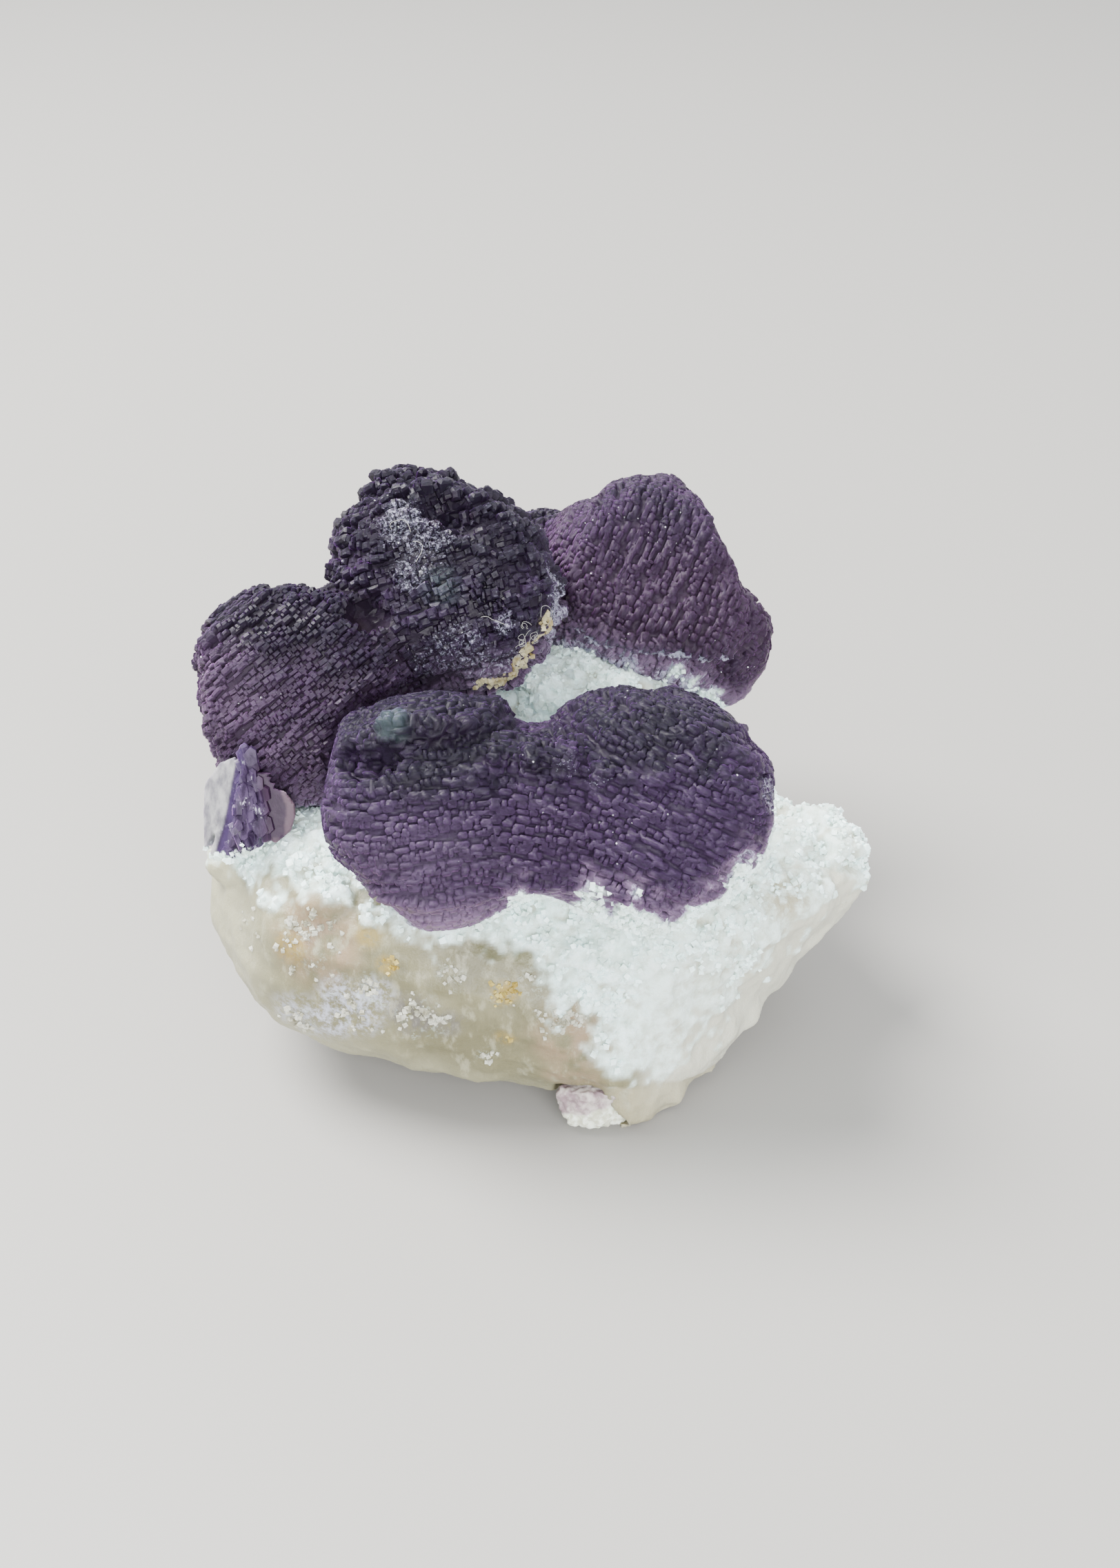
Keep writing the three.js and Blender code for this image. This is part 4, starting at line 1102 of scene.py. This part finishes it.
def cleaved():
    """Pale violet cleavage, nearly white outside and brown-violet inside, with fine upright steps."""
    f = Finish("cleaved_fluorite")
    upright = f.squeezed((1.0, 1.0, 0.4))
    veil = f.grain(0.6, 4, 0.6, upright)
    colour = f.mix(veil.above(0.4, 0.62), PLATE_DEEP, PLATE_VIOLET)
    colour = f.mix(f.grain(0.4, 4, 0.7, upright).above(0.6, 0.68), colour, PLATE_VEIN)
    colour = f.mix(f.amount("violet") * veil.above(0.25, 0.5), colour, VIOLET_SEAM)
    outer = f.mix(veil.above(0.3, 0.7), OUTER_GREY, OUTER_WHITE)
    colour = f.mix(f.amount("pale"), colour, outer)
    plate = f.mix(veil, BROWN_DEEP, BROWN_LIGHT)
    # Painted highlight along the rim of the brown plate and low on the plates.
    rim_highlight = (f.amount("rim") + 0.8 * (f.grain(0.8, 4) - 0.5)).above(0.3, 0.9)
    plate = f.mix(rim_highlight * 0.8, plate, BROWN_RIM_HIGHLIGHT)
    colour = f.mix(f.amount("brown"), colour, plate)
    crumbled = (f.amount("crumbled") + 2 * (f.grain(0.7, 5) - 0.5)).above(0.4, 0.7)
    colour = f.mix(crumbled, colour, SUGAR_SHADE)
    f.set({
        "Base Color": colour, "Roughness": 0.25 + 0.3 * f.grain(0.6), "IOR": 1.434,
        "Specular IOR Level": 0.25,
        "Subsurface Weight": 0.5, "Subsurface Radius": (0.9, 0.7, 1.0), "Subsurface Scale": 0.9 * MM,
    })
    f.bump(f.grain(0.22, 4, 0.6, upright), 0.5, 0.06 * MM)
    return f.material


core = fuse(node_copy("fluorite_broken_crystal", "plates_core"), PLATES_VOXEL, 3)
skin = tree_of(core)
rng = random.Random(21)
flakes = flake_places(skin, rng)
flake = ledge_mesh("flake", flake_rim(), ((-0.5, 1.0), (0.5, 0.9)))
broken = grown("broken_crystal", flakes, {
    "Block": flake, "Core": core, "Inset": 0.0, "Lean": math.radians(-14), "Lean Spread": math.radians(6),
    "Twist": math.radians(10), "Seed": 21, "Material": cleaved(),
})
bpy.data.objects.remove(flake)
bpy.data.objects.remove(core)
co = column(broken.data.vertices, "co")
across, high = plate_measure(co)
pale = line_at(PALE_EDGE, high) - across
mark(broken.data, "pale", smoothstep(-0.1, 0.1, pale))
mark(broken.data, "violet", (1 - smoothstep(0.0, 0.6, np.abs(pale + 0.3))) * 0.85)
rim = across - line_at(BROWN_EDGE, high)
mark(broken.data, "brown", smoothstep(-0.15, 0.25, rim))
mark(broken.data, "rim", np.maximum(smoothstep(0.9, 1.5, rim), 1 - smoothstep(-2.6, -1.4, high)))
mark(broken.data, "crumbled", 1 - smoothstep(-4.2, -2.0, high))
creep = 1 - smoothstep(-3.6, -2.4, high + 1.2 * cloud(co, 1.2))
scatter(
    "sugar_on_plates", broken, creep, CRUMBS_PER_AREA, SUGAR_SMALLEST, SUGAR_LARGEST, 8, quartz_grains,
)
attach(broken, "root")
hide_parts("fluorite_broken_crystal")

# Chip at the foot: an angular lump of fluorite held in the underside of the quartz, pale purple on top
# and frosted white below.
CHIP_VOXEL = 0.11 * MM
CHIP_GREY = (0.5, 0.51, 0.39, 1)
CHIP_WHITE = (0.78, 0.83, 0.72, 1)
CHIP_PURPLE = (0.24, 0.175, 0.19, 1)
CHIP_PALE = (0.48, 0.43, 0.4, 1)


def frosted():
    """Pale purple on top and frosted white below."""
    f = Finish("frosted_fluorite")
    white = f.mix(f.grain(0.5, 5, 0.65).above(0.4, 0.6), CHIP_GREY, CHIP_WHITE)
    purple = f.mix(f.grain(0.8, 4).above(0.38, 0.62), CHIP_PURPLE, CHIP_PALE)
    f.set({
        "Base Color": f.mix((f.amount("purple") + f.grain(1.0) - 0.5).above(0.3, 0.7), white, purple),
        "Roughness": 0.35 + 0.3 * f.grain(0.5), "IOR": 1.434,
        "Subsurface Weight": 0.5, "Subsurface Radius": (0.9, 0.75, 0.9), "Subsurface Scale": 1.2 * MM,
    })
    f.bump(f.grain(0.2, 5, 0.65), 0.6, 0.08 * MM)
    return f.material


chip = fuse(node_copy("fluorite_base_chip", "base_chip"), CHIP_VOXEL, 1)
chip.data.materials.append(frosted())
co = column(chip.data.vertices, "co")
normals = column(chip.data.vertices, "normal")
rough = cloud(co, 0.9) * 0.3 + cloud(co, 0.3) * 0.3
mark(chip.data, "purple", smoothstep(0.8, 2.0, measured(co)[:, 2] - 0.3 * measured(co)[:, 0]))
moved = co + normals * rough[:, None] * MM
moved[:, 2] = np.maximum(moved[:, 2], 0.02 * MM)
chip.data.vertices.foreach_set("co", moved.ravel())
for polygon in chip.data.polygons:
    polygon.use_smooth = True
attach(chip, "root")
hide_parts("fluorite_base_chip")

# Ochre crust: crumbs of iron-stained quartz in the crease along the lower right edge of the middle ball,
# and a few golden ones on the broken face of the quartz.
STRAW = (0.26, 0.2, 0.08, 1)
STRAW_PALE = (0.45, 0.4, 0.24, 1)
GOLD = (0.25, 0.165, 0.018, 1)
GOLD_PALE = (0.44, 0.35, 0.1, 1)
CRUST_PER_AREA = 22 / MM ** 2
GOLD_PER_AREA = 14 / MM ** 2
OCHRE_SPOTS = [  # where, how wide and how thick
    ((-3.4, -14.8, 11.8), 1.2, 1.3), ((-3.4, -15.2, 8.3), 0.5, 0.5), ((-10.5, -14.0, 13.4), 0.8, 0.3),
    ((-4.4, -15.2, 6.4), 0.5, 0.6),
]
CRUST_PATH = [
    (-0.8, 4.3, 27.2), (-1.6, 3.0, 25.9), (-2.5, 2.3, 25.1), (-3.6, 2.4, 23.4), (-4.9, 0.7, 24.3),
]
host = stepped["fluorite_left_cluster"]
co = column(host.data.vertices, "co")
band = off_path(measured(co), CRUST_PATH) + 0.4 * cloud(co, 0.8)
straw = crumb_finish("ochre_crust", STRAW, STRAW_PALE)
crust = 1 - smoothstep(0.2, 0.55, band)
scatter("ochre_crust", host, crust, CRUST_PER_AREA, 0.12 * MM, 0.38 * MM, 9, straw)
golden = crumb_finish("ochre_crumbs", GOLD, GOLD_PALE)
stains = patches(measured(column(lump.data.vertices, "co")), OCHRE_SPOTS)
scatter("ochre_crumbs", lump, stains, GOLD_PER_AREA, 0.12 * MM, 0.32 * MM, 11, golden)

# Lint: a few pale fibres caught on the steps of the middle ball. Each is a thin thread that curls
# along just above the surface.
FIBRES = [  # where each one starts, how many turns of the thread follow, and how tightly it curls
    ((-1.7, 1.8, 27.6), 16, 0.7), ((-1.2, 2.2, 28.4), 14, 0.5), ((-2.3, 1.5, 27.2), 16, 0.8),
    ((-1.4, 2.2, 27.1), 12, 1.0), ((-10.6, 3.0, 34.2), 9, 0.2), ((-3.2, 1.7, 25.2), 10, 0.6),
    ((-9.0, 2.2, 32.4), 8, 0.3), ((-5.0, 1.2, 29.0), 7, 0.2), ((-1.9, 2.0, 28.0), 14, 0.9),
    ((-4.4, 2.0, 23.6), 8, 0.5), ((-2.0, 1.7, 26.8), 14, 0.8), ((-2.4, 1.7, 26.4), 12, 0.6),
]
LINT_GREY = (0.3, 0.3, 0.28, 1)
LINT_PALE = (0.5, 0.5, 0.46, 1)
FIBRE_STEP = 0.28
FIBRE_RADIUS = 0.011


def lint():
    """Dull pale thread."""
    f = Finish("lint")
    f.set({"Base Color": f.mix(f.grain(0.5), LINT_GREY, LINT_PALE), "Roughness": 0.8})
    return f.material


skin = ball_skins["fluorite_left_cluster"]
curve = bpy.data.curves.new("fibres", "CURVE")
curve.dimensions = "3D"
curve.bevel_depth = FIBRE_RADIUS * MM
curve.bevel_resolution = 1
curve.use_fill_caps = True
rng = random.Random(12)
for start, turns, curl in FIBRES:
    line = curve.splines.new("NURBS")
    line.points.add(turns - 1)
    line.order_u = 4
    line.use_endpoint_u = True
    spot = place(*start)
    way = Vector((rng.uniform(-1, 1), 0, rng.uniform(-1, 1))).normalized()
    bend = curl * rng.choice((-1, 1))
    for point in line.points:
        hit, normal, _, _ = skin.find_nearest(spot)
        point.co = (*(hit + normal * rng.uniform(0.25, 0.5) * MM), 1)
        way = (Matrix.Rotation(bend + rng.gauss(0, 0.6), 3, normal) @ way).normalized()
        spot = hit + way * FIBRE_STEP * MM
fibres = link("fibre_curves", curve)
depsgraph = bpy.context.evaluated_depsgraph_get()
mesh = bpy.data.meshes.new_from_object(fibres.evaluated_get(depsgraph), depsgraph=depsgraph)
bpy.data.objects.remove(fibres)
strands = link("lint_fibres", mesh)
strands.data.materials.clear()
strands.data.materials.append(lint())
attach(strands, "root")
bpy.data.objects.remove(grain)

# Floor, light and camera: the specimen rests on its foot on a plain pale surface, under soft light from
# the upper left. The camera looks down by the lean of the plane that the balls' axes are given in.
FLOOR_HALF = 2.0
FLOOR_COLOUR = (0.3, 0.292, 0.275, 1)
SQUARE = ((-1, -1), (1, -1), (1, 1), (-1, 1))
floor = link("floor", bpy.data.meshes.new("floor"))
floor.data.from_pydata([(x * FLOOR_HALF, y * FLOOR_HALF, 0) for x, y in SQUARE], [], [(0, 1, 2, 3)])
plain = Finish("pale_floor")
plain.set({"Base Color": FLOOR_COLOUR, "Roughness": 0.55})
floor.data.materials.append(plain.material)

CAMERA_BACK = 90.107  # millimetres, as CAMERA_HEIGHT is
CAMERA_HEIGHT = 80.093
FOCAL_PIXELS = 2400
FRAME_HEIGHT = 2274
SENSOR = 36.0
lens = bpy.data.cameras.new("camera")
lens.sensor_width = SENSOR
lens.lens = FOCAL_PIXELS / FRAME_HEIGHT * SENSOR
lens.clip_start = 0.002
camera = link("camera", lens)
camera.location = place(0, -CAMERA_BACK, CAMERA_HEIGHT)
camera.rotation_euler = (math.pi / 2 - LEAN, 0, 0)
bpy.context.scene.camera = camera
LAMPS_AIM = Vector((0, 0, 0.015))


def lamp(name, spot, size, power, colour):
    """A large soft light that looks at the specimen."""
    light = bpy.data.lights.new(name, "AREA")
    light.shape, light.size, light.energy, light.color = "DISK", size, power, colour
    made = link(name, light)
    made.location = spot
    made.rotation_euler = (LAMPS_AIM - Vector(spot)).to_track_quat("-Z", "Y").to_euler()


lamp("key", (-0.3, 0.1, 0.5), 0.35, 15.0, (1.0, 0.99, 0.97))
lamp("fill", (0.12, -0.62, 0.3), 0.6, 11.0, (0.98, 0.98, 1.0))
world = bpy.data.worlds.new("room")
world.use_nodes = True
world.node_tree.nodes["Background"].inputs["Color"].default_value = (0.95, 0.97, 1.0, 1)
world.node_tree.nodes["Background"].inputs["Strength"].default_value = 1.65
bpy.context.scene.world = world
